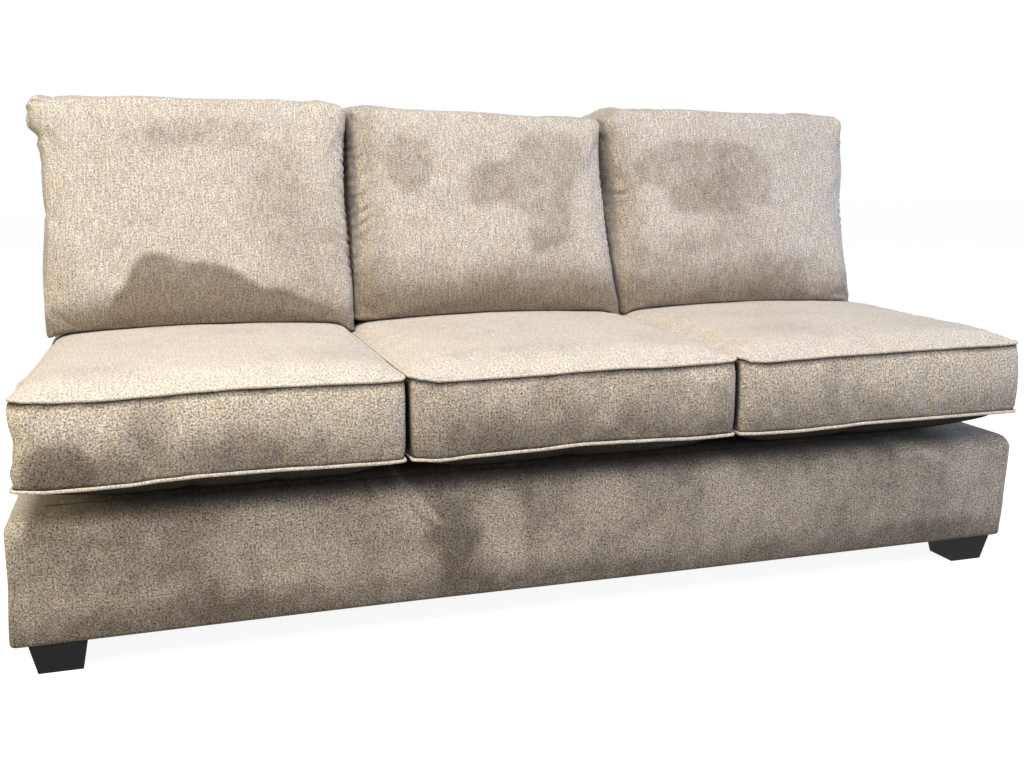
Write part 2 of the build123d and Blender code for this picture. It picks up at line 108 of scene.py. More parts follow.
def arithmetic(tree, operation, *values):
    """One math node. Values are sockets or numbers."""
    return add_node(tree, "Math", dict(enumerate(values)), operation=operation).outputs[0]


def times_plus(tree, value, factor, more):
    """value times factor, plus more."""
    return arithmetic(tree, "MULTIPLY_ADD", value, factor, more)


def remap(tree, value, low, high):
    """A value carried from a range to 0 to 1 along an S-curve."""
    return add_node(tree, "MapRange", {0: value, 1: low, 2: high}, interpolation_type="SMOOTHSTEP").outputs[0]


def mixed(tree, share, first, second, blend="MIX"):
    """Two colours mixed by a share. A mix node's colours are its inputs 6 and 7 and its output 2."""
    inputs = {0: share, 6: first, 7: second}
    return add_node(tree, "Mix", inputs, data_type="RGBA", blend_type=blend).outputs[2]


def noise(tree, place, scale, detail=2.0, rough=0.5):
    """Cloudy noise from 0 to 1 at a place."""
    inputs = {"Vector": place, "Scale": scale, "Detail": detail, "Roughness": rough}
    return add_node(tree, "TexNoise", inputs).outputs[0]


def stretched(tree, place, scale):
    """A place scaled on each axis."""
    return add_node(tree, "Mapping", {"Vector": place, "Scale": scale}).outputs[0]


def empty_tree(owner):
    """The node tree of a material or world, with nothing in it yet."""
    owner.use_nodes = True
    owner.node_tree.nodes.clear()
    return owner.node_tree


print("node tools: ready for the studio and the finishes")

# %% [markdown]
# The studio is a pale floor and a pale surround. Seen by the camera both come out white, and the floor
# keeps a soft shadow, because only part of its brightness is its own. One wide lamp hangs above and in
# front, and two smaller ones stand at the ends: a warm, weak one at the left and a cool one at the right.
# %% Floor, surround and lamps
scene = bpy.context.scene
scene.view_settings.view_transform = "Standard"
white = (1, 1, 1, 1)


def seen_directly(tree):
    """1 for rays from the camera, and for mirrored and passed rays, so that these see the white too."""
    path = add_node(tree, "LightPath").outputs
    total = path["Is Camera Ray"]
    for name in ("Is Glossy Ray", "Is Transmission Ray"):
        total = arithmetic(tree, "MAXIMUM", total, path[name])
    return total


def studio_world(strength):
    """Plain soft light from all round, seen as white."""
    scene.world = bpy.data.worlds.new("surround")
    tree = empty_tree(scene.world)
    lit = add_node(tree, "Background", {"Color": white, "Strength": strength}).outputs[0]
    seen = add_node(tree, "Background", {"Color": white}).outputs[0]
    mix = add_node(tree, "MixShader", {0: seen_directly(tree), 1: lit, 2: seen})
    add_node(tree, "OutputWorld", {"Surface": mix.outputs[0]})


def studio_floor(half_size, pale, own_light):
    """A wide floor, pale by its own colour, with some brightness of its own for direct sight."""
    mesh = bpy.data.meshes.new("floor")
    corners = [(-1, -1, 0), (1, -1, 0), (1, 1, 0), (-1, 1, 0)]
    mesh.from_pydata([(half_size * x, half_size * y, z) for x, y, z in corners], [], [(0, 1, 2, 3)])
    floor = bpy.data.objects.new("floor", mesh)
    scene.collection.objects.link(floor)
    material = bpy.data.materials.new("studio_floor")
    tree = empty_tree(material)
    matt = add_node(tree, "BsdfDiffuse", {"Color": (pale, pale, pale, 1)}).outputs[0]
    glow = add_node(tree, "Emission", {"Strength": own_light}).outputs[0]
    both = add_node(tree, "AddShader", {0: matt, 1: glow}).outputs[0]
    mix = add_node(tree, "MixShader", {0: seen_directly(tree), 1: matt, 2: both})
    add_node(tree, "OutputMaterial", {"Surface": mix.outputs[0]})
    mesh.materials.append(material)


def soft_lamp(name, place, aim, size, power, colour):
    """A square lamp at a place, turned to a point. Its size is in metres and its power in watts."""
    data = bpy.data.lights.new(name, "AREA")
    data.shape = "SQUARE"
    data.size = size
    data.energy = power
    data.color = colour
    lamp = bpy.data.objects.new(name, data)
    scene.collection.objects.link(lamp)
    lamp.location = place
    lamp.rotation_euler = (Vector(place) - Vector(aim)).to_track_quat("Z", "Y").to_euler()


studio_world(strength=0.22)
studio_floor(half_size=20, pale=0.32, own_light=0.92)
soft_lamp("lamp_above", (-0.9, -1.6, 3.0), (0, 0, 0.4), 2.4, 104, (1, 0.985, 0.96))
soft_lamp("lamp_left", (-3.2, -1.2, 1.5), (-0.6, 0, 0.5), 1.6, 30, (1, 0.86, 0.46))
soft_lamp("lamp_right", (3.4, -1.6, 1.5), (0.6, 0, 0.5), 1.6, 60, (0.58, 0.73, 1))
print("studio: floor, surround and 3 lamps")

# %% [markdown]
# ## Small tools for forms
# Every new form is a sheet or a closed box of points, worked out as whole arrays. These few functions
# turn arrays into meshes, blend values smoothly and give a seeded unevenness, because real upholstery
# is never quite even.
# %% Blending and unevenness
def blend_up(low, high, value):
    """0 at low and before, 1 at high and past it, and an S-curve between. high may be the smaller."""
    t = np.clip((value - low) / (high - low), 0, 1)
    return t * t * (3 - 2 * t)


def along(stops, values, at):
    """Values at a few stops, joined by S-curves and read at other places."""
    place = np.clip(np.searchsorted(stops, at) - 1, 0, len(stops) - 2)
    stops, values = np.asarray(stops, float), np.asarray(values, float)
    t = np.clip((at - stops[place]) / (stops[place + 1] - stops[place]), 0, 1)
    return values[place] + (values[place + 1] - values[place]) * t * t * (3 - 2 * t)


def hill(value, middle, width):
    """1 at the middle, falling away to both sides as a bell curve."""
    return np.exp(-(((value - middle) / width) ** 2))


def unevenness(points, wavelength, seed, waves=14):
    """A smooth field from about -1 to 1: sines in seeded directions, all near one wavelength."""
    draw = np.random.default_rng(seed)
    ways = draw.normal(size=(waves, 3))
    ways /= np.linalg.norm(ways, axis=1)[:, None]
    lengths = wavelength * draw.uniform(0.7, 1.4, waves)
    phases = draw.uniform(0, 2 * np.pi, waves)
    return np.sin(points @ (ways.T * (2 * np.pi / lengths)) + phases).sum(1) / np.sqrt(2 * waves)


print("unevenness at three points:", unevenness(np.eye(3), 0.2, 1).round(2))

# %% Arrays into meshes
def cells(numbers):
    """The quads of a sheet of point numbers. They face the way of its first axis crossed with its second."""
    corners = [numbers[:-1, :-1], numbers[1:, :-1], numbers[1:, 1:], numbers[:-1, 1:]]
    return np.stack(corners, -1).reshape(-1, 4)


def box_lattice(counts):
    """A closed box of square cells: points from -1 to 1 on three axes, quads that face outwards, and the
    axis that each quad's side is square to."""
    number = np.full([n + 1 for n in counts], -1)
    steps = np.indices(number.shape)
    ends = np.array(counts)[:, None, None, None]
    skin = ((steps == 0) | (steps == ends)).any(0)
    number[skin] = np.arange(skin.sum())
    places = steps[:, skin].T / np.array(counts) * 2 - 1
    quads, sides = [], []
    for axis in range(3):
        for end in (0, -1):
            side = cells(np.take(number, end, axis=axis))
            outward = (end == -1) != (axis == 1)
            quads.append(side if outward else side[:, ::-1])
            sides.append(np.full(len(side), axis))
    return places, np.concatenate(quads), np.concatenate(sides)


def crowd_to_ends(place, amount):
    """Places from -1 to 1, moved closer together near both ends."""
    return place + amount * np.sin(np.pi * place) / np.pi


def new_piece(name, points, quads, cloth_map):
    """An object from points and quads, shaded smooth. cloth_map is each quad corner's place on the cloth."""
    mesh = bpy.data.meshes.new(name)
    mesh.vertices.add(len(points))
    mesh.vertices.foreach_set("co", points.astype(np.float32).ravel())
    mesh.loops.add(quads.size)
    mesh.loops.foreach_set("vertex_index", quads.astype(np.int32).ravel())
    mesh.polygons.add(len(quads))
    mesh.polygons.foreach_set("loop_start", np.arange(0, quads.size, 4, dtype=np.int32))
    mesh.update(calc_edges=True)
    mesh.validate()
    layer = mesh.uv_layers.new(name="cloth")
    layer.uv.foreach_set("vector", cloth_map.astype(np.float32).ravel())
    mesh.polygons.foreach_set("use_smooth", np.ones(len(mesh.polygons), bool))
    piece = bpy.data.objects.new(name, mesh)
    scene.collection.objects.link(piece)
    return piece


def in_one_piece(name, parts):
    """One object from several parts, each with its points, quads and cloth map."""
    points, quads, maps = zip(*parts)
    before = np.cumsum([0, *map(len, points)])
    quads = np.concatenate([part + offset for part, offset in zip(quads, before)])
    return new_piece(name, np.concatenate(points), quads, np.concatenate(maps))


panels_apart = 3.7  # metres between the panels of one cover on the flat cloth


def panel_map(points, quads, sides):
    """Cloth places for a box of panels: each is laid flat along its own two axes, apart from the rest."""
    flat_axes = np.array([(1, 2), (0, 2), (0, 1)])
    corners = points[quads]
    pair = flat_axes[sides][:, None, :].repeat(4, 1)
    return np.take_along_axis(corners, pair, axis=2) + sides[:, None, None] * panels_apart


def read_points(mesh):
    """A mesh's points as rows of x, y and z."""
    places = np.zeros(len(mesh.vertices) * 3, np.float32)
    mesh.vertices.foreach_get("co", places)
    return places.reshape(-1, 3).astype(float)


def write_points(mesh, points):
    """Puts rows of x, y and z back into a mesh."""
    mesh.vertices.foreach_set("co", points.astype(np.float32).ravel())
    mesh.update()


def write_field(mesh, name, values):
    """Keeps one number per point on the mesh, for its material to read."""
    field = mesh.attributes.new(name, "FLOAT", "POINT")
    field.data.foreach_set("value", np.asarray(values, np.float32))


print("a box of 4 x 4 x 4 cells has", len(box_lattice((4, 4, 4))[0]), "points")

# %% [markdown]
# A stuffed cushion gets its last form from a cloth simulation. The cover is blown up from inside with
# no gravity for 20 frames, while its seams and the faces that rest on something are held. The cloth is
# cut a little too large, so it puckers against the held seams as a sewn cover does. How far a point may
# move is limited, so a cushion can't grow into its neighbours.
# %% Blowing up a cover
def plump(piece, held, reach, slack=0.02, pressure=4.0, stiffness=0.8, frames=20):
    """Inflates a closed cover around its held points. A point moves by reach times the hyperbolic tangent
    of its simulated move over reach, so by less than reach. slack is how much too large the cloth is."""
    rest = read_points(piece.data)
    group = piece.vertex_groups.new(name="held")
    group.add(np.flatnonzero(held).tolist(), 1.0, "REPLACE")
    cloth = piece.modifiers.new("cloth", "CLOTH")
    cloth.settings.vertex_group_mass = "held"
    cloth.settings.use_pressure = True
    cloth.settings.uniform_pressure_force = pressure
    cloth.settings.effector_weights.gravity = 0
    cloth.settings.shrink_min = -slack
    cloth.settings.bending_stiffness = stiffness
    cloth.settings.quality = 6
    cloth.collision_settings.use_collision = False
    cloth.point_cache.frame_end = frames
    for number in range(1, frames + 1):
        scene.frame_set(number)
    blown = piece.evaluated_get(bpy.context.evaluated_depsgraph_get())
    move = read_points(blown.data) - rest
    piece.modifiers.remove(cloth)
    piece.vertex_groups.remove(group)
    length = np.maximum(np.linalg.norm(move, axis=1), 1e-9)[:, None]
    write_points(piece.data, rest + move * np.tanh(length / reach) * reach / length)
    scene.frame_set(1)
    print(f"  {piece.name}: moved {length.max() / mm:.0f} mm at most, kept within {reach / mm:.0f} mm")


def subdivide(piece):
    """One applied subdivision, so that the details after it have points to move."""
    surface = piece.modifiers.new("finer", "SUBSURF")
    surface.levels = surface.render_levels = 1
    surface.boundary_smooth = "PRESERVE_CORNERS"
    fine = bpy.data.meshes.new_from_object(piece.evaluated_get(bpy.context.evaluated_depsgraph_get()))
    piece.modifiers.clear()
    coarse, piece.data = piece.data, fine
    bpy.data.meshes.remove(coarse)
    fine.name = piece.name


print("simulation:", "on")

# %% [markdown]
# ## Seat cushions
# A seat cushion is a foam block in a boxed cover: a top panel, a bottom panel and a tall side wall, with
# piping in both seams. The seams keep their length, so they stay nearly straight and tuck in, while the
# panels swell between them. The rings of a square are carried to rings of a rounded rectangle, which
# gives a closed mesh whose rows follow the seams.
# %% Sizes of a seat cushion
seat_corner = 9 * mm  # at the seams
wall_corner = 12 * mm  # half-way up the side wall
seam_tuck = 3 * mm  # how far the seams are pulled in
wall_swell = 4 * mm  # how far the side wall stands out between them
seat_crown = 31 * mm  # the middle of the top panel stands this far above its seam
seat_drop = 57 * mm  # and the bottom panel rests this far below its seam
drop_reach = 190 * mm  # within this distance from the seam
front_belly = 1 * mm  # how much further it hangs behind its front edge
seam_fade = 70 * mm  # behind the front corners the seams' own lines fade over this length
corner_fade = 50 * mm  # and the front corners' outlines over this one
touch_gap = 0.4 * mm  # between cloths that lie on each other

# Places along the front in mm, and how far the seam runs above or below its level there. The corners of
# the top panel stand up, and the cord hangs a little between them.
top_seams = {
    "left": ([-945, -918, -880, -815, -744, -668, -595, -478, -365, -338, -315],
             [4, 0, -2.5, -3.5, -1.5, 1.5, 3, 1.5, -0.5, 0.5, 5]),
    "middle": ([-315, -296, -265, -152, -76, 0, 76, 152, 265, 290, 315],
               [5, 0, -5.5, -5, -4.5, -2, -1, -3, -1.5, 0, 5]),
    "right": ([315, 335, 365, 441, 516, 744, 819, 895, 925, 945],
              [4, -3, -5.5, -3.5, -1.5, 0.5, 1, 0.5, 2, 4.5]),
}
low_seams = {
    "left": ([-945, -895, -840, -782, -720, -668, -554, -441, -365, -315],
             [-4, -8.5, -8.5, -7.5, -3.5, -1.5, -1.5, -3.5, -4.5, -3]),
    "middle": ([-315, -265, -200, -100, 0, 60, 120, 227, 315],
               [-3.5, -7.5, -4.5, -3, 1, 0, -1.5, -4.5, -3]),
    "right": ([315, 365, 441, 516, 592, 668, 782, 880, 945],
              [-3.5, -5.5, -6.5, -4.5, -1.5, -1.5, -1.5, -1.2, -1.5]),
}
# How far the two free ends of the row stand out: by height at the front corner, and by depth behind it.
free_ends = {
    "left": (([342, 362, 390, 417, 449, 466, 482], [11, 8, -1, -4, 2, 4, 4]),
             ([-469, -400, -317, -222, 2, 132], [3, -2, 2, -6, -12, -15])),
    "right": (([342, 400, 482], [14, 11, 7]), ([-469, -300, 132], [8, 12, 8])),
}

seat_boxes = {side: [np.array(c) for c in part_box(f"seat_cover_{side}")] for side in SIDES}
welts_low, welts_high = [np.array(c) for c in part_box("seat_welts_left")]
cad_welt = seat_boxes["left"][0][0] - welts_low[0]
seat_low, seat_high = welts_low[2] + cad_welt, welts_high[2] - cad_welt
seat_slab = (welts_high[0] - welts_low[0]) / 2
seat_front = seat_boxes["left"][0][1]
deck_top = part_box("deck_cloth")[1][2]
print(f"seams at {seat_low / mm:.0f} and {seat_high / mm:.0f} mm, slab {2 * seat_slab / mm:.0f} mm wide")

# %% Form of a seat cushion
def rounded_rings(u, v, half_u, half_v, radius):
    """Carries a square to a rectangle with rounded corners, ring by ring. Returns the two places and the
    outward way at each point: a corner's points go round its arc, half a right angle for each side."""
    level = np.maximum(np.abs(u), np.abs(v))
    on_ring = np.maximum(level, 1e-9)
    x, y = np.abs(u) / on_ring * half_u, np.abs(v) / on_ring * half_v
    in_x, in_y = x - (half_u - radius), y - (half_v - radius)
    on_end = np.abs(u) >= np.abs(v)
    angle = np.where(on_end, in_y, 2 * radius - in_x) / radius * np.pi / 4
    corner = (in_x > 0) & (in_y > 0)
    angle = np.where(corner, angle, np.where(on_end, 0, np.pi / 2))
    x = np.where(corner, half_u - radius + radius * np.cos(angle), x)
    y = np.where(corner, half_v - radius + radius * np.sin(angle), y)
    out_x, out_y = np.cos(angle) * np.sign(u), np.sin(angle) * np.sign(v)
    return x * np.sign(u) * level, y * np.sign(v) * level, out_x, out_y


def crown_rise(distance, half):
    """How far a panel has risen, from 0 to 1: two thirds quickly, as 1 less a fading exponential of the
    distance from its seam, and the rest slowly, as a quarter of a sine wave to the middle."""
    quick_part = 1 - np.exp(-distance / (15 * mm))
    slow_part = np.sin(np.pi / 2 * np.clip(distance / half, 0, 1))
    return 0.66 * quick_part + 0.34 * slow_part


def seat_centre(side):
    """The middle and the half sizes of a seat cushion's frame node."""
    low, high = seat_boxes[side]
    return (low + high) / 2, (high - low) / 2


def has_neighbour(across, side):
    """True where a point's own end of the cushion, right for a place above 0, lies against the next one."""
    return np.where(across > 0, side != "right", side != "left")


def seam_rise(x, y, side, seed, share):
    """How far a seam runs off its level: its own line along the front, which fades into small waves along
    the ends and the rear. share is 0 for the lower seam, 1 for the upper, and between them for the wall."""
    in_front = np.exp(-np.maximum(y - seat_front, 0) / seam_fade)
    low, high = (along(*lines[side], x / mm) * mm for lines in (low_seams, top_seams))
    waves = 1.1 * mm * unevenness(np.stack([x, y, 0 * x], -1), 0.24, seed)
    return in_front * (low + (high - low) * share) + (1 - in_front) * waves


def stand_out(x, y, z, side):
    """Sideways move of a cushion's free end, which nothing holds. It grows from the far end to that one as
    the fourth power of the way, and goes from one line at the front corner to another behind it."""
    if side not in free_ends:
        return 0 * x
    at_corner, behind = free_ends[side]
    middle, half = seat_centre(side)
    outward = -1 if side == "left" else 1
    share = np.clip(0.5 + 0.5 * outward * (x - middle[0]) / half[0], 0, 1) ** 4
    in_front = np.exp(-np.maximum(y - seat_front, 0) / corner_fade)
    move = in_front * along(*at_corner, z / mm) + (1 - in_front) * along(*behind, y / mm)
    return outward * share * move * mm


def seat_top_height(x, y, side):
    """Height of a seat cushion's top panel at a place: its seam and its crown, which rises from the front
    and both ends, and falls off quickly at the rear."""
    middle, half = seat_centre(side)
    from_end = np.maximum(half[0] - np.abs(x - middle[0]), 0)
    from_front = np.maximum(y - (middle[1] - half[1]), 0)
    from_rear = np.maximum(middle[1] + half[1] - y, 0)
    lengthwise = crown_rise(from_front, half[1]) * (1 - np.exp(-from_rear / (34 * mm)))
    return seat_high + seat_crown * crown_rise(from_end, half[0]) * lengthwise


def seat_form(side, seed):
    """Points, quads and panels of one seat cushion before it is blown up, its held points, and two fields
    for its finish: where the cloth is wall, and how much painted shade it gets in the seams, in the gaps
    and underneath."""
    places, quads, sides = box_lattice((56, 64, 16))
    u, v, c = (crowd_to_ends(p, amount) for p, amount in zip(places.T, (0.4, 0.4, 0.5)))
    middle, half = seat_centre(side)
    radius = seat_corner + (wall_corner - seat_corner) * np.sqrt(1 - c**2)
    x, y, out_x, out_y = rounded_rings(u, v, half[0] - seam_tuck, half[1] - seam_tuck, radius)
    beside = has_neighbour(u, side)
    swell, tuck = wall_swell * (1 - c**2), seam_tuck * (1 - c**6)
    x += middle[0] + (np.where(beside, 0, swell) + tuck) * out_x
    y += middle[1] + (swell + tuck) * out_y
    z = (seat_low + seat_high) / 2 + c * (seat_high - seat_low) / 2

    # The two panels: nearest is the distance from the seam, which counts half as much again at the ends.
    inner = np.maximum(np.abs(u), np.abs(v)) < 1
    upper, lower = inner & (c > 0), inner & (c < 0)
    from_end, from_side = 1.5 * (1 - np.abs(u)) * half[0], (1 - np.abs(v)) * half[1]
    nearest = 1 / (1 / np.maximum(from_end, 1e-6) ** 4 + 1 / np.maximum(from_side, 1e-6) ** 4) ** 0.25
    drop = seat_drop * np.sin(np.pi / 2 * np.clip(nearest / drop_reach, 0, 1)) ** 1.1
    belly = front_belly * hill(y, middle[1] - half[1] + 40 * mm, 60 * mm) * (1 - np.abs(u) ** 4)
    belly *= blend_up(0, 12 * mm, nearest)
    z = np.where(upper, seat_top_height(x, y, side), z)
    z = np.where(lower, seat_low - drop - belly, z)
    z += np.where(inner, np.exp(-nearest / (50 * mm)), 1) * seam_rise(x, y, side, seed, (c + 1) / 2)
    z = np.maximum(z, deck_top + touch_gap)

    seam = ~inner & (np.abs(c) == 1)
    resting = lower & (z < deck_top + 3 * mm)
    under_back = upper & (y > 70 * mm)
    rear_wall = (v == v.max()) & ~inner
    held = seam | resting | under_back | rear_wall

    # Painted shade: below the upper cord, less above the lower one, in a gap and underneath.
    below, above = (1 - c) * (seat_high - seat_low) / 2, (1 + c) * (seat_high - seat_low) / 2
    seam_shade = np.maximum(blend_up(13 * mm, 7 * mm, below), 0.85 * blend_up(8 * mm, 3 * mm, above))
    gap_shade = 0.97 * beside * blend_up(half[0] - 3 * mm, half[0] - 0.5 * mm, np.abs(x - middle[0]))
    in_wall = c < 1
    crease = np.where(inner, c < 0, np.maximum(seam_shade, gap_shade) * in_wall)
    return np.stack([x, y, z], -1), quads, sides, held, {"wall": in_wall, "crease": crease}


def keep_in_slab(points, side):
    """Holds a seat cushion's walls off its neighbours' and the deck, and its rear wall flat at the zip."""
    middle, half = seat_centre(side)
    beside, free = half[0] + 0.2 * mm, seat_slab - touch_gap
    to_left, to_right = (free if side == "left" else beside), (free if side == "right" else beside)
    points[:, 0] = np.clip(points[:, 0], middle[0] - to_left, middle[0] + to_right)
    points[:, 1] = np.minimum(points[:, 1], middle[1] + half[1])
    points[:, 2] = np.maximum(points[:, 2], deck_top + touch_gap)
    return points


# %% [markdown]
# The piping is a cord wrapped in a strip of the same cloth, sewn into both seams. It is a round profile
# carried along the seam's ring. The ring follows the same rounded rectangle and the same small waves as
# the seam, so the cord lies in the tuck all the way round.
# %% Piping
welt_radius = 3.1 * mm
cord_out = 3.4 * mm  # the cord's outer side stands this far past the seam's ring
upper_back, upper_down = 1.2 * mm, 1.5 * mm  # the upper cord lies further in and lower than that
lower_back = 3 * mm  # the lower cord is pulled back where two cushions meet


def ring_tube(path, outward, radius, sides_round=12):
    """A closed tube along a closed path: the radius times the cosine of an angle along the path's outward
    way, and times its sine straight up. Its cloth map is the length along the path and round the girth."""
    turn_round = np.linspace(0, 2 * np.pi, sides_round, endpoint=False)[None, :, None]
    circle = np.cos(turn_round) * outward[:, None, :] + np.sin(turn_round) * np.array([0, 0, 1.0])
    points = path[:, None, :] + radius[:, None, None] * circle
    numbers = np.arange(len(path) * sides_round).reshape(len(path), sides_round)
    numbers = np.pad(numbers, ((0, 1), (0, 1)), mode="wrap")
    step = np.linalg.norm(np.roll(path, -1, 0) - path, axis=1)
    length = np.concatenate([[0], np.cumsum(step)])
    girth = np.linspace(0, 2 * np.pi * radius.mean(), sides_round + 1)
    grid = np.stack(np.meshgrid(length, girth, indexing="ij"), -1)
    quads = cells(numbers)
    corner = cells(np.arange((len(path) + 1) * (sides_round + 1)).reshape(len(path) + 1, -1))
    return points.reshape(-1, 3), quads, grid.reshape(-1, 2)[corner]


def seam_ring(side, seed, level, count=520):
    """Points along one seam of a seat cushion, evenly spread round the ring, and the ways outwards."""
    middle, half = seat_centre(side)
    way_round = np.linspace(0, 8, count, endpoint=False)
    edge, t = way_round.astype(int) // 2, (way_round % 2) - 1
    one = np.ones_like(t)
    u = np.choose(edge, [t, one, -t, -one])
    v = np.choose(edge, [-one, t, one, -t])
    x, y, out_x, out_y = rounded_rings(u, v, half[0], half[1], seat_corner + seam_tuck)
    upper = float(level == seat_high)
    apart = lower_back * has_neighbour(x, side) * (1 - upper)
    x = np.clip(x, apart - half[0], half[0] - apart) + middle[0]
    y = y + middle[1]
    z = level + seam_rise(x, y, side, seed, upper) - upper_down * upper
    x += stand_out(x, y, level, side)
    outward = np.stack([out_x, out_y, 0 * out_x], -1)
    outward = (outward + np.roll(outward, 1, 0) + np.roll(outward, -1, 0)) / 3
    outward /= np.linalg.norm(outward, axis=1)[:, None]
    inwards = welt_radius - cord_out + upper_back * upper
    return np.stack([x, y, z], -1) - outward * inwards, outward


def make_welts(side, seed):
    """Both rings of piping of one seat cushion in one piece."""
    parts = []
    for level in (seat_low, seat_high):
        path, outward = seam_ring(side, seed, level)
        radius = welt_radius * (1 + 0.05 * unevenness(path, 0.03, seed + 5))
        parts.append(ring_tube(path, outward, radius))
    return in_one_piece(f"welts_{side}", parts)


# %% Making the seat cushions
seat_pieces, welt_pieces = {}, {}
for seed, side in enumerate(SIDES):
    points, quads, sides, held, fields = seat_form(side, seed)
    cut_at = seed * 1.3  # metres along the roll of cloth, so that no two cushions have the same pattern
    cushion = new_piece(f"seat_cushion_{side}", points, quads, panel_map(points, quads, sides) + cut_at)
    for name, values in fields.items():
        write_field(cushion.data, name, values)
    plump(cushion, held, reach=9 * mm)
    subdivide(cushion)
    points = read_points(cushion.data)
    points[:, 2] += 0.8 * mm * unevenness(points, 0.11, 20 + seed)
    points = keep_in_slab(points, side)
    points[:, 0] += stand_out(*points.T, side)
    write_points(cushion.data, points)
    seat_pieces[side] = cushion
    welt_pieces[side] = make_welts(side, seed)
    print(f"seat cushion {side}: {len(cushion.data.polygons)} quads")

# %% [markdown]
# ## Back cushions
# A back cushion is a loose fibre-filled bag. It leans on the back and sits on the crown of the seat
# cushion, so its bottom follows that crown and its lower corners hang into the dips between the seats.
# Each one has been pushed about a little differently: the tops rise and fall, the sides pull in between
# the corners, and the left one has a bunched ear at its upper corner. The form is a box whose edges are
# rounded, then sheared to the lean of the back and fitted to these outlines.
# %% Outlines of the back cushions
upper_edge = (14 * mm, 26 * mm, 15 * mm)  # rounding of the edges along x, y and z
lower_edge = (10 * mm, 24 * mm, 12 * mm)
back_depth = 178 * mm
front_crown = 13 * mm
front_sag = 5 * mm  # how much fuller the front is below its middle, where the fibre has sunk
back_boxes = {side: [np.array(c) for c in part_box(f"back_cover_{side}")] for side in SIDES}
lean = math.tan(math.radians(13))
lean_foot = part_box("inside_back_cover")[0]
rise_stops = [500, 620, 740, 860, 960]  # heights in mm at which the two edges are given
left_edges = {
    "left": [-940, -942, -936, -937, -942],
    "middle": [-310, -303.5, -299, -296, -295],
    "right": [318.5, 313, 314, 311, 303.5],
}
right_edges = {
    "left": [-313, -310.5, -309, -305.5, -298],
    "middle": [314, 303.5, 299.5, 296.5, 299],
    "right": [930.5, 931.5, 936, 948, 950.5],
}
top_lines = {  # share of the way from the left edge (-1) to the right (1), and height in mm
    "left": ([-1, -0.97, -0.9, -0.36, 0.02, 0.55, 0.73, 0.83, 0.93, 1],
             [984, 989, 986, 993, 989, 989, 983, 987, 979, 968]),
    "middle": ([-1, -0.87, -0.18, 0.64, 0.9, 1], [971, 974, 969, 958, 955, 948]),
    "right": ([-1, -0.82, -0.7, -0.43, 0.17, 0.8, 0.93, 1], [960, 978, 974, 980, 973, 969, 964, 952]),
}
bottom_follows = {"left": (-945, -318), "middle": (-262, 305), "right": (318, 960)}  # from and to, in mm


def back_face(z, in_front=0.0):
    """Y of the inside back's leaning face at height z, or of a plane that far in front of it."""
    return lean_foot[1] + (z - lean_foot[2]) * lean - in_front


def side_edges(side, z):
    """X of a back cushion's left and right edge at height z."""
    return (along(rise_stops, edges[side], z / mm) * mm for edges in (left_edges, right_edges))


def in_front_half(points):
    """True for the front panel and the front part of the sides."""
    return points[:, 1] < back_face(points[:, 2], 60 * mm)


for side, (low, high) in back_boxes.items():
    print(f"back cushion {side}:", ((high - low) / mm).round().tolist(), "mm")

# %% Form of a back cushion
def rounded_box(u, v, w, half, radius):
    """Carries a cube to a box with rounded edges: what a point is past the inner block becomes a step to a
    ball of that radius, which may differ on each axis."""
    half = np.asarray(half)
    cube = np.stack([u, v, w], -1) * half
    core = np.clip(cube, radius - half, half - radius)
    step = (cube - core) / radius
    return core + step / np.maximum(np.linalg.norm(step, axis=1), 1e-9)[:, None] * radius


def seat_crown_under(x, y):
    """Top of the row of seat cushions at a place: the highest of the three."""
    return np.max([seat_top_height(x, y, side) for side in SIDES], axis=0)


def back_form(side):
    """Points, quads and panels of one back cushion before it is blown up, and its held points. across,
    through and up are places in a rounded box, and a, t and c the same as shares from -1 to 1."""
    places, quads, sides = box_lattice((72, 18, 60))
    u, v, w = (crowd_to_ends(p, 0.3) for p in places.T)
    low, high = back_boxes[side]
    half = ((high[0] - low[0]) / 2, back_depth / 2, (high[2] - low[2]) / 2)
    upper = blend_up(-0.3, 0.3, w)[:, None]
    radius = np.array(lower_edge) + upper * (np.array(upper_edge) - lower_edge)
    across, through, up = rounded_box(u, v, w, half, radius).T
    a, t, c = across / half[0], through / half[1], up / half[2]

    rough_z = (low[2] + high[2]) / 2 + up
    left, right_side = side_edges(side, rough_z)
    x = (left + right_side) / 2 + a * (right_side - left) / 2

    top = along(*top_lines[side], a) * mm - high[2]
    bottom_y = back_face(low[2], back_depth / 2) + through
    crown_x = np.clip(x, *(mm * np.array(bottom_follows[side])))
    bottom = seat_crown_under(crown_x, np.clip(bottom_y, 0.1, 0.15)) + 2 * touch_gap - low[2]
    bottom *= blend_up(0.215, 0.15, bottom_y)
    z = rough_z + top * blend_up(-0.2, 1, c) + bottom * blend_up(0.1, -1, c)

    swell = front_crown * np.clip(1 - a**2, 0, 1) ** 0.6 * np.clip(1 - c**2, 0, 1) ** 0.6
    sag = front_sag * np.clip(1 - a**2, 0, 1) * hill(c, -0.45, 0.45)
    y = back_face(z, back_depth / 2 + 1 * mm) + through - (swell + sag) * blend_up(0.2, -0.9, t)
    held = ((v > 0.98) & (np.abs(c) < 0.99)) | ((w < -0.98) & (np.abs(a) < 0.99))
    return np.stack([x, y, z], -1), quads, sides, held


def keep_off_neighbours(points, side):
    """Holds a back cushion between its two edges, in front of the back and above the seats."""
    left, right_side = side_edges(side, points[:, 2])
    points[:, 0] = np.clip(points[:, 0], left - 0.5 * mm, right_side + 0.5 * mm)
    points[:, 1] = np.minimum(points[:, 1], back_face(points[:, 2], 0.6 * mm))
    seat = seat_crown_under(points[:, 0], np.maximum(points[:, 1], 0.1)) + touch_gap
    points[:, 2] = np.maximum(points[:, 2], seat)
    return points


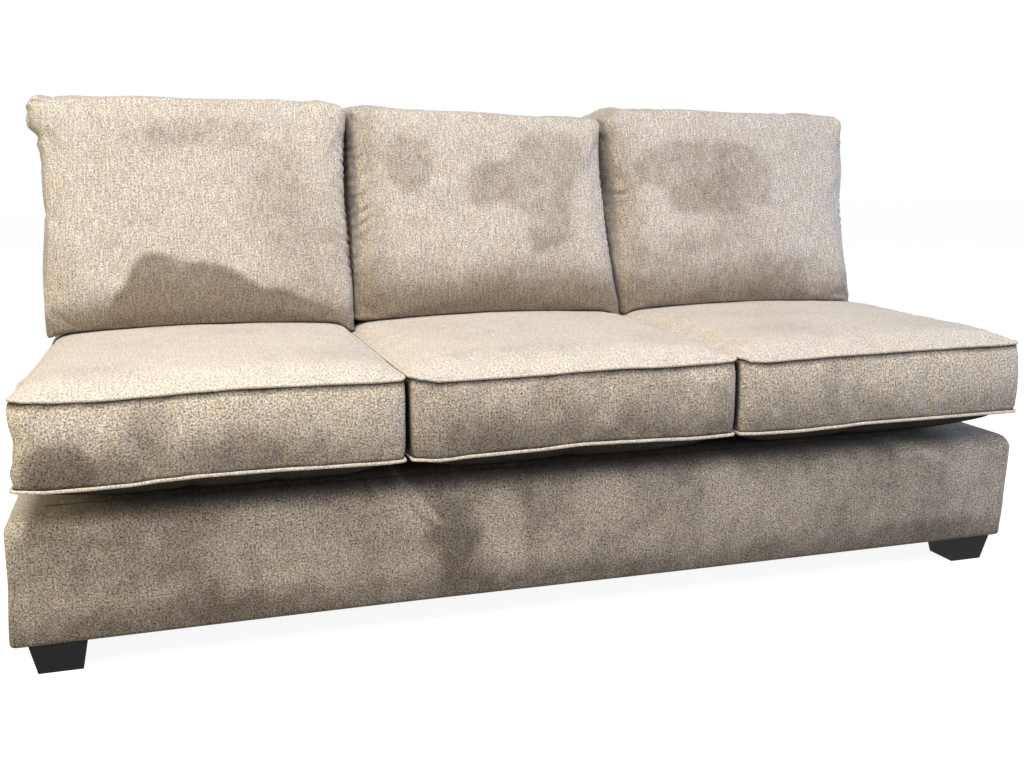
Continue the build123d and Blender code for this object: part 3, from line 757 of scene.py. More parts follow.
# %% [markdown]
# Three details come after the simulation. Short puckers run in from the side edges where the cover is
# gathered, single folds are pressed in where the cushions were pushed together, and the left cushion's
# upper corner is bunched into an ear that stands out above a fold. All of them move points only a few
# millimetres, so they come after the cloth has its points close together.
# %% Puckers, folds and the bunched corner
pucker_runs = [  # cushion, edge (-1 left, 1 right), from and to height in mm, depth in mm, spacing in mm
    ("left", 1, 600, 900, 2.6, 17),
    ("middle", -1, 580, 900, 1.7, 21),
    ("middle", 1, 620, 820, 2.6, 16),
    ("right", -1, 640, 860, 1.5, 23),
    ("right", 1, 660, 760, 2.2, 18),
]
folds = [  # cushion, x and height where a fold starts and where it ends, depth and half width, all in mm
    ("left", -309, 835, -332, 858, 5, 4),
    ("left", -310, 800, -340, 822, 4, 4),
    ("left", -311, 765, -345, 790, 7, 4.5),
    ("left", -311, 742, -342, 766, 6, 4),
    ("left", -312, 718, -345, 742, 5, 4),
    ("left", -312, 672, -350, 696, 7, 5),
    ("left", -311, 640, -345, 662, 5, 4),
    ("left", -952, 988, -957, 918, 5, 4),
    ("left", -946, 970, -908, 962, 5, 5),
    ("middle", -301, 892, -276, 912, 8, 6),
    ("middle", -300, 842, -262, 868, 5, 5),
    ("middle", -301, 805, -258, 835, 5, 5),
    ("middle", -303, 760, -262, 792, 5, 5),
    ("middle", -303, 722, -250, 762, 8, 5),
    ("middle", -304, 698, -252, 738, 7, 5),
    ("middle", -304, 668, -262, 704, 5, 5),
    ("middle", -305, 636, -270, 666, 4, 5),
    ("middle", 300, 772, 282, 758, 6, 4),
    ("right", 313, 768, 356, 778, 8, 5),
    ("right", 314, 740, 350, 754, 4, 5),
    ("right", 314, 806, 345, 818, 3.5, 5),
    ("right", 938, 712, 912, 717, 6, 4),
    ("right", 947, 905, 925, 899, 4, 4),
]


def pucker(points, side):
    """Pulls short folds in from a side edge: a squared cosine wave along the edge, which slants down and
    fades as an exponential of the distance from the edge."""
    for number, (name, edge, low, high, depth, spacing) in enumerate(pucker_runs):
        if name != side:
            continue
        z = points[:, 2] / mm
        edge_x = along(rise_stops, (right_edges if edge > 0 else left_edges)[side], z)
        from_edge = np.abs(points[:, 0] / mm - edge_x)
        run = blend_up(low - 20, low + 20, z) * (1 - blend_up(high - 20, high + 20, z))
        slant = z - 0.45 * from_edge
        wave = np.cos(2 * np.pi * slant / spacing + 2.2 * unevenness(points, 0.07, 40 + number))
        fold = depth * mm * run * np.exp(-from_edge / 20) * (0.5 - 0.5 * wave) ** 2
        points[:, 0] -= edge * fold
        points[:, 1] += 1.2 * fold * in_front_half(points)
    return points


def press_folds(points, side):
    """Presses single folds into the front: each is a straight groove, deepest near its start, with a low
    ridge along one side. t goes from 0 to 1 along it and off is the distance to its line."""
    for name, x_0, z_0, x_1, z_1, depth, width in folds:
        if name != side:
            continue
        way_x, way_z = x_1 - x_0, z_1 - z_0
        from_x, from_z = points[:, 0] / mm - x_0, points[:, 2] / mm - z_0
        t = (from_x * way_x + from_z * way_z) / (way_x**2 + way_z**2)
        off = (from_x * way_z - from_z * way_x) / math.hypot(way_x, way_z)
        groove = hill(off, 0, width) - 0.5 * hill(off, -1.9 * width, 1.3 * width)
        fade = blend_up(-0.4, 0.05, t) * blend_up(1.1, 0.35, t)
        points[:, 1] += depth * mm * groove * fade * in_front_half(points)
    return points


def bunch_corner(points):
    """The ear: the left edge stands out from a height of about 910 mm to the top, with a ridge and a dent
    near the top, a low bulge under the fold, and a fuller front at 926 mm. It fades in over 22 mm."""
    z = points[:, 2] / mm
    from_edge = points[:, 0] / mm - left_edges["left"][-1]
    near = np.exp(-np.clip(from_edge, 0, None) / 22)
    forward = blend_up(back_face(points[:, 2], 20 * mm), back_face(points[:, 2], 80 * mm), points[:, 1])
    ear = 18 * blend_up(897, 922, z) + 2.5 * hill(z, 968, 9) - 2.5 * hill(z, 952, 6)
    bulge = 6 * hill(z, 884, 10)
    points[:, 0] -= (ear + bulge) * near * forward * mm
    points[:, 1] -= 7 * hill(z, 926, 20) * near * forward * mm
    return points


# %% Making the back cushions
back_pieces = {}
for seed, side in enumerate(SIDES):
    points, quads, sides, held = back_form(side)
    cut_at = seed * 1.9
    cushion = new_piece(f"back_cushion_{side}", points, quads, panel_map(points, quads, sides) + cut_at)
    plump(cushion, held, reach=8 * mm, slack=0.03)
    subdivide(cushion)
    points = keep_off_neighbours(read_points(cushion.data), side)
    off_the_back = points[:, 1] < back_face(points[:, 2], 30 * mm)
    points[:, 1] += 1.5 * mm * unevenness(points, 0.13, 30 + seed) * off_the_back
    points = pucker(points, side)
    if side == "left":
        points = bunch_corner(points)
    points = press_folds(points, side)
    write_points(cushion.data, points)
    back_pieces[side] = cushion
    print(f"back cushion {side}: {len(cushion.data.polygons)} quads")

# %% [markdown]
# ## The base
# One wide band of cloth goes round the front and both ends of the base, over padding. It swells a
# little towards its top, rolls over the edge and turns in under the seat cushions. It is a profile
# carried along a U-shaped path, and where the profile lies further in than the corner's radius, the
# path's corner gets sharp, as a folded corner does.
# %% The band
base_low, base_high = [np.array(c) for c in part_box("base_cover")]
base_corner = 11 * mm
front_swell = 14 * mm
end_swell = 1 * mm
foot = 7 * mm  # radius of the band's lower edge
roll = 27 * mm  # and of its upper edge
turn_under = 30 * mm
lip_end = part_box("deck_cloth")[0][0] - base_low[0] + 4 * mm
quarter_arc = 1.57  # length of a quarter turn, in radii
corner_reach = 60 * mm  # the swell of the front and of the ends fades in over this length from a corner
end_shift = 3.5 * mm  # both ends stand this far to the right
band_creases = [(-0.372, 0.9), (-0.338, 0.6), (0.305, -0.7), (0.86, -0.25)]  # x in m, and slant


def band_profile(count=64):
    """The band's section from its turned-under edge to its lip: how far in, and how high, with the share of
    length of cloth. q is the share of each of its five stretches: under, lower arc, face, upper arc, lip."""
    face = base_high[2] - base_low[2] - foot - roll
    stops = np.cumsum([0, turn_under - foot, foot * quarter_arc, face, roll * quarter_arc, lip_end - roll])
    at = np.linspace(0, stops[-1], count)
    q = [np.clip((at - stops[n]) / (stops[n + 1] - stops[n]), 0, 1) for n in range(5)]
    lower, upper = np.pi / 2 * q[1], np.pi / 2 * q[3]
    inward = turn_under - (turn_under - foot) * q[0] - foot * np.sin(lower)
    inward += roll * (1 - np.cos(upper)) + (lip_end - roll) * q[4]
    rise = foot * (1 - np.cos(lower)) + face * q[2] + roll * np.sin(upper)
    return inward, base_low[2] + rise, at


def band_points():
    """The band on its U-shaped path: the left end from the rear, the front, and the right end to the rear.
    Round a corner the path turns by an arc whose centre stays put, so its radius shrinks with the distance
    inwards, down to 1.5 mm."""
    inward, height, across = band_profile()
    half, front, rear = base_high[0], base_low[1], base_high[1]
    arc = base_corner * np.pi / 4
    first, second, last = rear - front, rear - front + 2 * half, 2 * (rear - front + half)
    stops = [0, first - arc, first + arc, second - arc, second + arc, last]
    steps = [80, 13, 380, 13, 80]
    runs = [np.linspace(*stops[n : n + 2], steps[n], endpoint=False) for n in range(5)]
    way = np.concatenate([*runs, [last]])[:, None]
    radius = np.maximum(base_corner - inward, 1.5 * mm)
    centre_x, centre_y = half - inward - radius, front + inward + radius
    share = [np.clip((way - stops[n]) / (stops[n + 1] - stops[n]), 0, 1) for n in range(5)]
    turn_left, turn_right = share[1] * np.pi / 2, share[3] * np.pi / 2
    before = [way < stop for stop in stops[1:5]]
    x = np.select(before, [
        -centre_x - radius, -centre_x - radius * np.cos(turn_left), (2 * share[2] - 1) * centre_x,
        centre_x + radius * np.sin(turn_right)], centre_x + radius)
    y = np.select(before, [
        rear + (centre_y - rear) * share[0], centre_y - radius * np.sin(turn_left), centre_y - radius,
        centre_y - radius * np.cos(turn_right)], centre_y + (rear - centre_y) * share[4])
    z = np.broadcast_to(height[None, :], x.shape)
    flat_map = np.stack(np.broadcast_arrays(way, across[None, :]), -1)
    return np.stack([x, y, z], -1), flat_map


def swell_band(points):
    """The padding's swell, most near the top of the front, and the pulls and small creases in the cloth.
    rise goes from 0 at the bottom of the band to 1 at its top, and run is the distance from its top in mm."""
    x, y, z = points.T
    front, half = base_low[1], base_high[0]
    rise = (z - base_low[2]) / (base_high[2] - base_low[2])
    fullness = along([0, 0.35, 0.86, 1], [0, 0.55, 1, 0.35], rise)
    on_front = blend_up(front + corner_reach, front, y)
    on_end = blend_up(half - corner_reach, half, np.abs(x))
    taper = 1 - 0.35 * hill(np.abs(x), half, 90 * mm)
    points[:, 1] -= front_swell * fullness * on_front * taper
    points[:, 0] += (np.sign(x) * end_swell + end_shift) * fullness * on_end
    flat = np.stack([x, 0 * y, 0.6 * z], -1)
    uneven = 1.6 * mm * unevenness(flat, 0.3, 51) + 0.7 * mm * unevenness(points, 0.09, 52)
    points[:, 1] -= uneven * on_front * fullness
    points[:, 0] += np.sign(x) * uneven * on_end * fullness
    points[:, 0] -= 5 * mm * (x < 0) * on_end * blend_up(0.6, 0.1, rise)  # the left end leans in below
    points[:, 2] += 2.6 * mm * hill(x, -0.4, 0.45) * blend_up(0.3, 0, rise) * on_front  # and is drawn up
    for crease_x, slant in band_creases:
        run = (base_high[2] - z) / mm
        offset = (x - crease_x) / mm - slant * run
        crease = 2.4 * mm * hill(offset, 0, 7) * hill(run, 42, 30) * on_front
        crease -= 1.8 * mm * hill(offset, 15, 9) * hill(run, 46, 34) * on_front
        points[:, 1] += crease
    return points


grid, flat_map = band_points()
numbers = np.arange(grid.shape[0] * grid.shape[1]).reshape(grid.shape[:2])
band_quads = cells(numbers)
points = swell_band(grid.reshape(-1, 3).copy())
band = new_piece("base_band", points, band_quads, flat_map.reshape(-1, 2)[band_quads])
band_cloth = band.modifiers.new("cloth_thickness", "SOLIDIFY")
band_cloth.thickness = 2 * mm
band_cloth.offset = -1
print("band:", len(band_quads), "quads, lip", round(lip_end / mm), "mm in")

# %% [markdown]
# ## Flat cloths and the upholstered back
# The back frame is padded and covered, and the back cushions hide most of it. Its cover is a box with
# rounded front and top edges that leans with the frame. It may only sink behind the frame's face, never
# stand in front of it, because the cushions lie against it. The deck, the outside back and the dust
# cover are thin flat cloths, so each is a sheet with the slight unevenness of stapled cloth.
# %% The back's cover
back_cover_low, back_cover_high = [np.array(c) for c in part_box("inside_back_cover")]
back_edge = 20 * mm


def back_cover_form():
    """A box whose front and top edges are rounded, then leant back. step is how far a point is past the
    inner block, as in a rounded box, and it shrinks until it lies on a ball."""
    places, quads, sides = box_lattice((150, 14, 34))
    u, v, w = crowd_to_ends(places[:, 0], 0.3), places[:, 1], crowd_to_ends(places[:, 2], 0.3)
    low, high = back_cover_low, back_cover_high
    x = u * high[0]
    z = low[2] + (w + 1) / 2 * (high[2] - low[2])
    face = back_face(z)
    y = face + (v + 1) / 2 * (high[1] - face)
    past_x = np.sign(x) * np.clip(np.abs(x) - (high[0] - back_edge), 0, None)
    past_z = np.clip(z - (high[2] - back_edge), 0, None)
    near_front = np.clip(1 - (v + 1) / 2 * (high[1] - face) / back_edge, 0, None)
    step = np.stack([past_x, -near_front * back_edge, past_z], -1)
    shrink = np.max(np.abs(step), axis=1) / np.maximum(np.linalg.norm(step, axis=1), 1e-9)
    x = x - past_x * (1 - shrink)
    y = y + near_front * back_edge * (1 - shrink)
    z = z - past_z * (1 - shrink)
    points = np.stack([x, y, z], -1)
    hollow = 2.5 * mm * (0.5 + 0.5 * unevenness(points, 0.35, 61)) * (near_front > 0.5)
    points[:, 1] += hollow * np.clip((high[2] - z) / (60 * mm), 0, 1)
    points[:, 2] += 1.2 * mm * unevenness(points, 0.25, 62) * (past_z > 0)
    return points, quads, sides


points, quads, sides = back_cover_form()
back_cover = new_piece("back_cover", points, quads, panel_map(points, quads, sides))
print("back cover:", len(quads), "quads")

# %% Deck, outside back and dust cover
def flat_sheet(low, high, counts, axis, turned=False):
    """A sheet square to an axis, half-way between two corners, as a grid of points. turned makes it face
    the other way."""
    one, two = [n for n in range(3) if n != axis]
    grid = np.zeros((*counts, 3))
    ways = (np.linspace(low[n], high[n], count) for n, count in zip((one, two), counts))
    grid[..., one], grid[..., two] = np.meshgrid(*ways, indexing="ij")
    grid[..., axis] = (low[axis] + high[axis]) / 2
    points = grid.reshape(-1, 3)
    quads = cells(np.arange(len(points)).reshape(counts))
    if turned:
        quads = quads[:, ::-1]
    return points, quads, points[:, [one, two]][quads]


# The deck's cloth sags by up to 0.9 mm, and runs down by 4 mm more at its front and its ends.
deck_low, deck_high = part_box("deck_cloth")
points, quads, cloth_map = flat_sheet(deck_low, deck_high, (120, 40), axis=2)
from_edge = np.minimum(points[:, 0] - deck_low[0], deck_high[0] - points[:, 0])
from_edge = np.minimum(from_edge, points[:, 1] - deck_low[1])
points[:, 2] = deck_high[2] - 0.3 * mm - 4 * mm * np.exp(-from_edge / (12 * mm))
points[:, 2] -= 0.9 * mm * (0.5 + 0.5 * unevenness(points, 0.22, 71))
deck = new_piece("deck", points, quads, cloth_map)

# The outside back is as wide as the base below and as the back above, with round upper corners to both.
rear_low, rear_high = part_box("outside_back_cover")
parts = []
for half_width, low_z, high_z, radius in (
    (rear_high[0], rear_low[2], back_cover_low[2], 25 * mm),
    (back_cover_high[0], back_cover_low[2], rear_high[2], 20 * mm),
):
    corners = (-half_width, rear_low[1], low_z), (half_width, rear_high[1], high_z)
    points, quads, cloth_map = flat_sheet(*corners, (140, 44), axis=1, turned=True)
    over = np.clip(points[:, 2] - (high_z - radius), 0, radius)
    narrower = radius - np.sqrt(np.maximum(radius**2 - over**2, 0))
    points[:, 0] *= (half_width - narrower) / half_width
    points[:, 1] += 0.6 * mm * unevenness(points * (1, 0, 1), 0.35, 81)
    parts.append((points, quads, cloth_map))
rear_cover = in_one_piece("outside_back", parts)

points, quads, cloth_map = flat_sheet(*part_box("dust_cover"), (110, 50), axis=2, turned=True)
points[:, 2] += 0.3 * mm * unevenness(points, 0.3, 91)
dust = new_piece("dust_sheet", points, quads, cloth_map)
print("sheets: deck, outside back, dust cover")

# %% [markdown]
# ## Finishes
# Every finish is worked out from a place on the cloth or in the piece, so it stays put when the piece
# moves. The sofa is covered in chenille, a soft pile yarn: its tufts catch the light one by one as fine
# flecks, thicker yarns show as short slubs along the warp, and where a hand has stroked the pile the
# other way a dark patch stays. The patches are part of the look, so each cushion keeps its own field of
# them: soft ellipses, and on the backs outlines with soft edges. One group of nodes makes the cloth for
# all the pieces, and each material places it with its own colours.
# %% Chenille
def chenille_group():
    """Chenille from a place on the cloth in metres: tufts, the curls of single yarns, dark specks where the
    pile parts and slubs along the warp, over a ground that goes from light to dark with the stroke and with
    painted shade, and lighter with a painted highlight on lit, worn edges."""
    inputs = {"Place": ("Vector", None), "Light": ("Color", white), "Dark": ("Color", white)}
    for name in ("Stroke_and_shade", "Start", "Clouds", "Contrast", "Slub", "Painted_shade", "Wear_and_highlight"):
        inputs[name] = ("Float", 0.0)
    outputs = {"Color": "Color", "Height": "Float", "Roughness": "Float"}
    tree, given, result = new_group("chenille", inputs, outputs)

    # Scales are in clouds for each metre of cloth, so 300 gives tufts of about 3 mm.
    place = given["Place"]
    along_warp, wide_place = (stretched(tree, place, (1.0, share, 1.0)) for share in (0.13, 0.5))
    tufts = remap(tree, noise(tree, place, 300.0, 2.0, 0.6), 0.36, 0.64)
    curl = arithmetic(tree, "SUBTRACT", noise(tree, place, 190.0, 1.0), 0.5)
    curls = remap(tree, arithmetic(tree, "ABSOLUTE", curl), 0.09, 0.0)
    specks = remap(tree, noise(tree, stretched(tree, place, (1.0, 0.6, 1.0)), 380.0, 1.0, 0.5), 0.6, 0.7)
    slubs = remap(tree, noise(tree, along_warp, 260.0, 2.0, 0.6), 0.4, 0.68)
    clouds = arithmetic(tree, "SUBTRACT", noise(tree, place, 24.0, 3.0, 0.6), 0.5)
    wide = arithmetic(tree, "SUBTRACT", noise(tree, wide_place, 7.0, 3.0, 0.6), 0.5)
    tone = remap(tree, noise(tree, place, 26.0, 2.0, 0.5), 0.32, 0.68)

    # The ground: clouds, strokes, painted shade and a painted highlight on worn edges add up to a drift
    # from the light colour to the dark one.
    drift = times_plus(tree, arithmetic(tree, "ADD", clouds, wide), given["Clouds"], given["Start"])
    drift = arithmetic(tree, "ADD", drift, given["Stroke_and_shade"])
    drift = times_plus(tree, given["Wear_and_highlight"], -0.3, drift)
    ground = mixed(tree, remap(tree, drift, 0.0, 1.0), given["Light"], given["Dark"])
    warm_or_cool = mixed(tree, tone, (1.015, 1.0, 0.97, 1), (0.993, 0.993, 1.025, 1))
    ground = mixed(tree, 1.0, ground, warm_or_cool, "MULTIPLY")

    # The flecks make it lighter and darker, and painted shade in creases darkens it.
    grain = arithmetic(tree, "MULTIPLY", arithmetic(tree, "SUBTRACT", slubs, 0.4), given["Slub"])
    fleck = times_plus(tree, tufts, 0.8, -0.4)
    for part, weight in ((curls, 0.35), (specks, -0.5), (grain, 0.4)):
        fleck = times_plus(tree, part, weight, fleck)
    fleck = arithmetic(tree, "MULTIPLY", fleck, given["Contrast"])
    gain = times_plus(tree, fleck, 0.75, 1.0)
    gain = arithmetic(tree, "MULTIPLY", gain, times_plus(tree, given["Painted_shade"], -0.88, 1.0))
    shade = add_node(tree, "CombineColor", {0: gain, 1: gain, 2: gain}).outputs[0]
    tree.links.new(mixed(tree, 1.0, ground, shade, "MULTIPLY"), result["Color"])
    tree.links.new(arithmetic(tree, "ADD", tufts, slubs), result["Height"])
    rough = times_plus(tree, tufts, -0.12, 0.96)
    tree.links.new(times_plus(tree, given["Wear_and_highlight"], -0.15, rough), result["Roughness"])
    return tree


chenille = chenille_group()
cloth_fields = ("stroke_and_shade", "crease", "wear_and_highlight", "wall")


def chenille_material(name, light, dark, start=0.15, clouds=1.0, contrast=1.0, slub=1.0, bump=0.5, wall=None):
    """Chenille on a piece with a cloth map. The piece may hold fields of stroke patches and painted shade,
    of painted shade in creases, where the gloss and the sheen fade too, and of worn edges with a painted
    highlight. wall gives the seats' side walls a second, deeper pair of colours, partly painted shade,
    and a contrast, where their field wall is 1."""
    material = bpy.data.materials.new(name)
    material.use_nodes = True
    tree = material.node_tree
    surface = tree.nodes["Principled BSDF"]
    place = add_node(tree, "UVMap", uv_map="cloth").outputs[0]
    stroke_and_shade, crease, wear_and_highlight, on_wall = (
        add_node(tree, "Attribute", attribute_name=field).outputs["Fac"] for field in cloth_fields)
    light, dark = (*light, 1), (*dark, 1)
    if wall:
        light = mixed(tree, on_wall, light, (*wall[0], 1))
        dark = mixed(tree, on_wall, dark, (*wall[1], 1))
        contrast = times_plus(tree, on_wall, wall[2] - contrast, contrast)
    inputs = {"Place": place, "Light": light, "Dark": dark, "Stroke_and_shade": stroke_and_shade, "Start": start,
              "Clouds": clouds, "Contrast": contrast, "Slub": slub, "Painted_shade": crease, "Wear_and_highlight": wear_and_highlight}
    pile = add_node(tree, "Group", inputs, node_tree=chenille).outputs
    bumps = add_node(tree, "Bump", {"Strength": bump, "Distance": 1.2 * mm, "Height": pile["Height"]})
    tree.links.new(pile["Color"], surface.inputs["Base Color"])
    tree.links.new(pile["Roughness"], surface.inputs["Roughness"])
    tree.links.new(bumps.outputs[0], surface.inputs["Normal"])
    surface.inputs["Sheen Roughness"].default_value = 0.45
    # In a crease the gloss and the sheen fade too, as more painted shade.
    for key, weight in (("Specular IOR Level", 0.2), ("Sheen Weight", 0.22)):
        tree.links.new(times_plus(tree, crease, -weight, weight), surface.inputs[key])
    return material


print("chenille group:", len(chenille.nodes), "nodes")

# %% Patches of the pile, and painted shade
# Each patch: middle and half sizes along the panel's two axes in mm, turn in degrees, strength, softness
# of its edge as a share of its size. A strength below 0 is a patch that is paler than the rest.
back_patches = {
    "left": [
        (-665, 905, 80, 26, 0, 0.1, 0.5), (-850, 510, 110, 60, 8, 0.2, 0.9),
        (-455, 770, 70, 90, 0, 0.22, 0.7), (-430, 660, 70, 100, 0, 0.28, 0.7),
        (-915, 640, 40, 70, 0, 0.2, 0.6)],
    "middle": [
        (250, 740, 30, 150, 4, -0.2, 0.6), (0, 715, 60, 40, 20, -0.15, 0.6),
        (-275, 780, 40, 200, 0, 0.3, 0.8)],
    "right": [
        (540, 776, 90, 46, 10, 0.08, 0.5), (300, 800, 66, 200, 4, 0.4, 0.8),
        (480, 660, 120, 30, 10, 0.2, 0.6), (860, 640, 80, 170, 0, -0.3, 0.7),
        (620, 700, 60, 40, 0, 0.16, 0.4)],
}
# The large stroked patches of the backs: outline, strength, and half the width of its edge, in mm.
back_outlines = {
    "left": [
        ([(-850, 440), (-826, 530), (-806, 570), (-786, 603), (-765, 642), (-747, 661), (-728, 667),
          (-662, 653), (-603, 639), (-553, 620), (-510, 592), (-453, 569), (-392, 546), (-347, 519),
          (-315, 440)], 0.62, 11),
        ([(-724, 933), (-654, 950), (-584, 938), (-488, 931), (-480, 873), (-568, 881),
          (-718, 872)], 0.15, 18)],
    "middle": [
        ([(-228, 884), (-186, 912), (-127, 890), (-118, 830), (-158, 771), (-197, 780),
          (-223, 821)], 0.32, 13),
        ([(-53, 781), (-31, 825), (-4, 845), (60, 855), (82, 891), (117, 916), (199, 918), (246, 889),
          (239, 833), (199, 783), (195, 671), (150, 654), (92, 645), (93, 729), (36, 756),
          (-23, 750)], 0.31, 13)],
    "right": [
        ([(364, 839), (388, 878), (448, 897), (571, 900), (696, 884), (730, 845), (716, 746), (641, 725),
          (491, 723), (445, 740), (439, 781), (381, 796)], 0.3, 14)],
}
# Painted shade on a back's front where it meets the seat: strength and reach in mm.
low_shades = {"left": (0.6, 130), "middle": (0.9, 200), "right": (0.7, 210)}
seat_patches = {
    "left": [
        (-850, -390, 80, 60, 0, 0.2, 0.5), (-600, -60, 90, 60, 0, 0.15, 0.6),
        (-440, -330, 110, 60, 20, 0.15, 0.6)],
    "middle": [
        (200, -330, 90, 70, 0, 0.16, 0.6), (-80, -390, 170, 40, 0, 0.14, 0.6),
        (-180, -80, 90, 60, 0, 0.14, 0.6)],
    "right": [
        (540, -140, 110, 60, -20, 0.18, 0.5), (470, -310, 90, 60, 0, 0.15, 0.6),
        (800, -350, 90, 50, 0, 0.15, 0.6)],
}
wall_patches = {
    "left": [
        (-886, 368, 56, 46, -6, 0.32, 0.2), (-745, 436, 34, 48, 25, 0.16, 0.5),
        (-590, 380, 96, 36, 5, 0.2, 0.6), (-830, 450, 60, 30, 0, -0.2, 0.5),
        (-660, 455, 50, 26, 0, -0.15, 0.5)],
    "middle": [
        (165, 425, 86, 46, -10, 0.22, 0.5), (240, 462, 40, 18, 0, -0.3, 0.4),
        (0, 412, 420, 120, 0, 0.22, 0.3)],
    "right": [
        (502, 440, 24, 36, 0, 0.15, 0.5), (390, 400, 60, 60, 0, 0.12, 0.6),
        (800, 440, 110, 50, 0, -0.15, 0.6)],
}
# The last patch, pale at the top of the left end, is a painted highlight on the lit roll.
band_patches = [
    (-345, 258, 66, 9, -46, -1.2, 0.5), (-318, 270, 74, 9, -46, -1.2, 0.5),
    (-330, 215, 80, 50, -50, -0.08, 0.6), (-231, 175, 42, 90, 8, 0.35, 0.5),
    (-135, 180, 38, 76, 12, -0.4, 0.5), (60, 225, 46, 50, 0, -0.38, 0.5),
    (300, 250, 34, 48, 10, -0.6, 0.5), (335, 200, 64, 32, 20, -0.28, 0.6),
    (470, 195, 110, 40, 10, -0.22, 0.6), (870, 215, 44, 54, 0, -0.3, 0.6),
    (740, 268, 80, 9, -20, -0.35, 0.6), (-870, 275, 60, 25, 0, -0.2, 0.5),
    (-740, 230, 60, 80, 0, 0.15, 0.6), (-560, 180, 110, 60, 0, -0.15, 0.6),
    (-640, 120, 100, 36, 0, 0.12, 0.8), (-972, 280, 26, 50, -25, -0.9, 0.5),
]


def patch_field(first, second, patches, seed):
    """Ellipses with uneven edges: at each place the strongest dark one plus the strongest pale one."""
    dark, pale = np.zeros(len(first)), np.zeros(len(first))
    ragged = 0.06 * unevenness(np.stack([first, second, 0 * first], -1), 0.08, seed)
    for mid_1, mid_2, half_1, half_2, turned, strength, soft in patches:
        c, s = math.cos(math.radians(turned)), math.sin(math.radians(turned))
        d1, d2 = first / mm - mid_1, second / mm - mid_2
        far = np.hypot((c * d1 + s * d2) / half_1, (c * d2 - s * d1) / half_2) + ragged
        patch = strength * blend_up(1 + soft, 1 - soft, far)
        dark, pale = np.maximum(dark, patch), np.minimum(pale, patch)
    return dark + pale


def inside_outline(first, second, outline):
    """How far places lie inside a closed outline in mm, and less than 0 outside it: the distance to its
    nearest side, with the sign from how many sides a ray to the left crosses."""
    place = np.stack([first, second], -1) / mm
    corners = np.array(outline, float)
    nearest, crossed = np.full(len(place), np.inf), np.zeros(len(place), int)
    for start, end in zip(corners, np.roll(corners, -1, 0)):
        way = end - start
        share = np.clip((place - start) @ way / (way @ way), 0, 1)
        nearest = np.minimum(nearest, np.linalg.norm(place - start - share[:, None] * way, axis=1))
        beside = (place[:, 1] < start[1]) != (place[:, 1] < end[1])
        side_x = start[0] + (place[:, 1] - start[1]) / (way[1] or 1) * way[0]
        crossed += beside & (side_x < place[:, 0])
    return np.where(crossed % 2, nearest, -nearest)


def back_stroke_and_shade(side, seed):
    """The stroke patches on a back cushion's front, and the painted shade where it meets the seat."""
    points = read_points(back_pieces[side].data)
    x, _, z = points.T
    field = patch_field(x, z, back_patches[side], 100 + seed)
    strength, reach = low_shades[side]
    over_seat = z - seat_crown_under(x, np.full(len(x), 120 * mm))
    # Painted shade on the front, strongest just above the seat cushion.
    field += strength * blend_up(reach * mm, 5 * mm, over_seat) ** 1.5
    ragged = 4 * mm * unevenness(np.stack([x, z, 0 * x], -1), 0.1, 105 + seed)
    for outline, strength, edge in back_outlines[side]:
        field += strength * blend_up(-edge, edge, inside_outline(x + ragged, z + ragged, outline))
    return field * in_front_half(points)


def seat_stroke_and_shade(side, seed):
    """The patches on a seat cushion's top and on its front wall, with painted shade that darkens the wall
    towards its lower seam, and a painted highlight along the front edge of the top panel, where the pile
    is a little worn."""
    points = read_points(seat_pieces[side].data)
    x, y, z = points.T
    wall = (z < seat_high - 4 * mm) & (z > seat_low - 9 * mm)
    on_top = patch_field(x, y, seat_patches[side], 110 + seed)
    on_wall = patch_field(x, z, wall_patches[side], 120 + seed) * (y < -0.4)
    # Painted shade: the front wall darkens towards its lower seam.
    on_wall += 0.32 * blend_up(seat_high - 30 * mm, seat_low, z)
    # A painted highlight on the lit front edge of the top panel, where the pile is also a little worn.
    rubbed_and_lit = hill(y - seat_front, 14 * mm, 26 * mm) * (0.6 + 0.4 * unevenness(points, 0.09, 140 + seed))
    return np.where(wall, on_wall, on_top), rubbed_and_lit * (z > seat_high + 1 * mm)


for seed, side in enumerate(SIDES):
    write_field(back_pieces[side].data, "stroke_and_shade", back_stroke_and_shade(side, seed))
    stroke_and_shade, rubbed_and_lit = seat_stroke_and_shade(side, seed)
    write_field(seat_pieces[side].data, "stroke_and_shade", stroke_and_shade)
    write_field(seat_pieces[side].data, "wear_and_highlight", rubbed_and_lit)

# On the band: the patches, painted shade at its foot, and a faint painted shadow where the seats hang over
# it.
x, y, z = read_points(band.data).T
foot_shade = 0.4 * blend_up(base_low[2] + 75 * mm, base_low[2], z)
write_field(band.data, "stroke_and_shade", patch_field(x, z, band_patches, 130) + foot_shade)
painted_seat_shadow = 0.18
shadow_under_seats = blend_up(base_high[2] - 50 * mm, base_high[2] - 5 * mm, z)
shadow_under_seats *= blend_up(base_high[0] - 15 * mm, base_high[0] - 60 * mm, np.abs(x))
write_field(band.data, "crease", painted_seat_shadow * shadow_under_seats)
# The deck, which lies under the seats, gets the same faint painted shadow all over.
write_field(deck.data, "crease", np.full(len(deck.data.vertices), painted_seat_shadow))
print("patches on 6 cushions and the band")

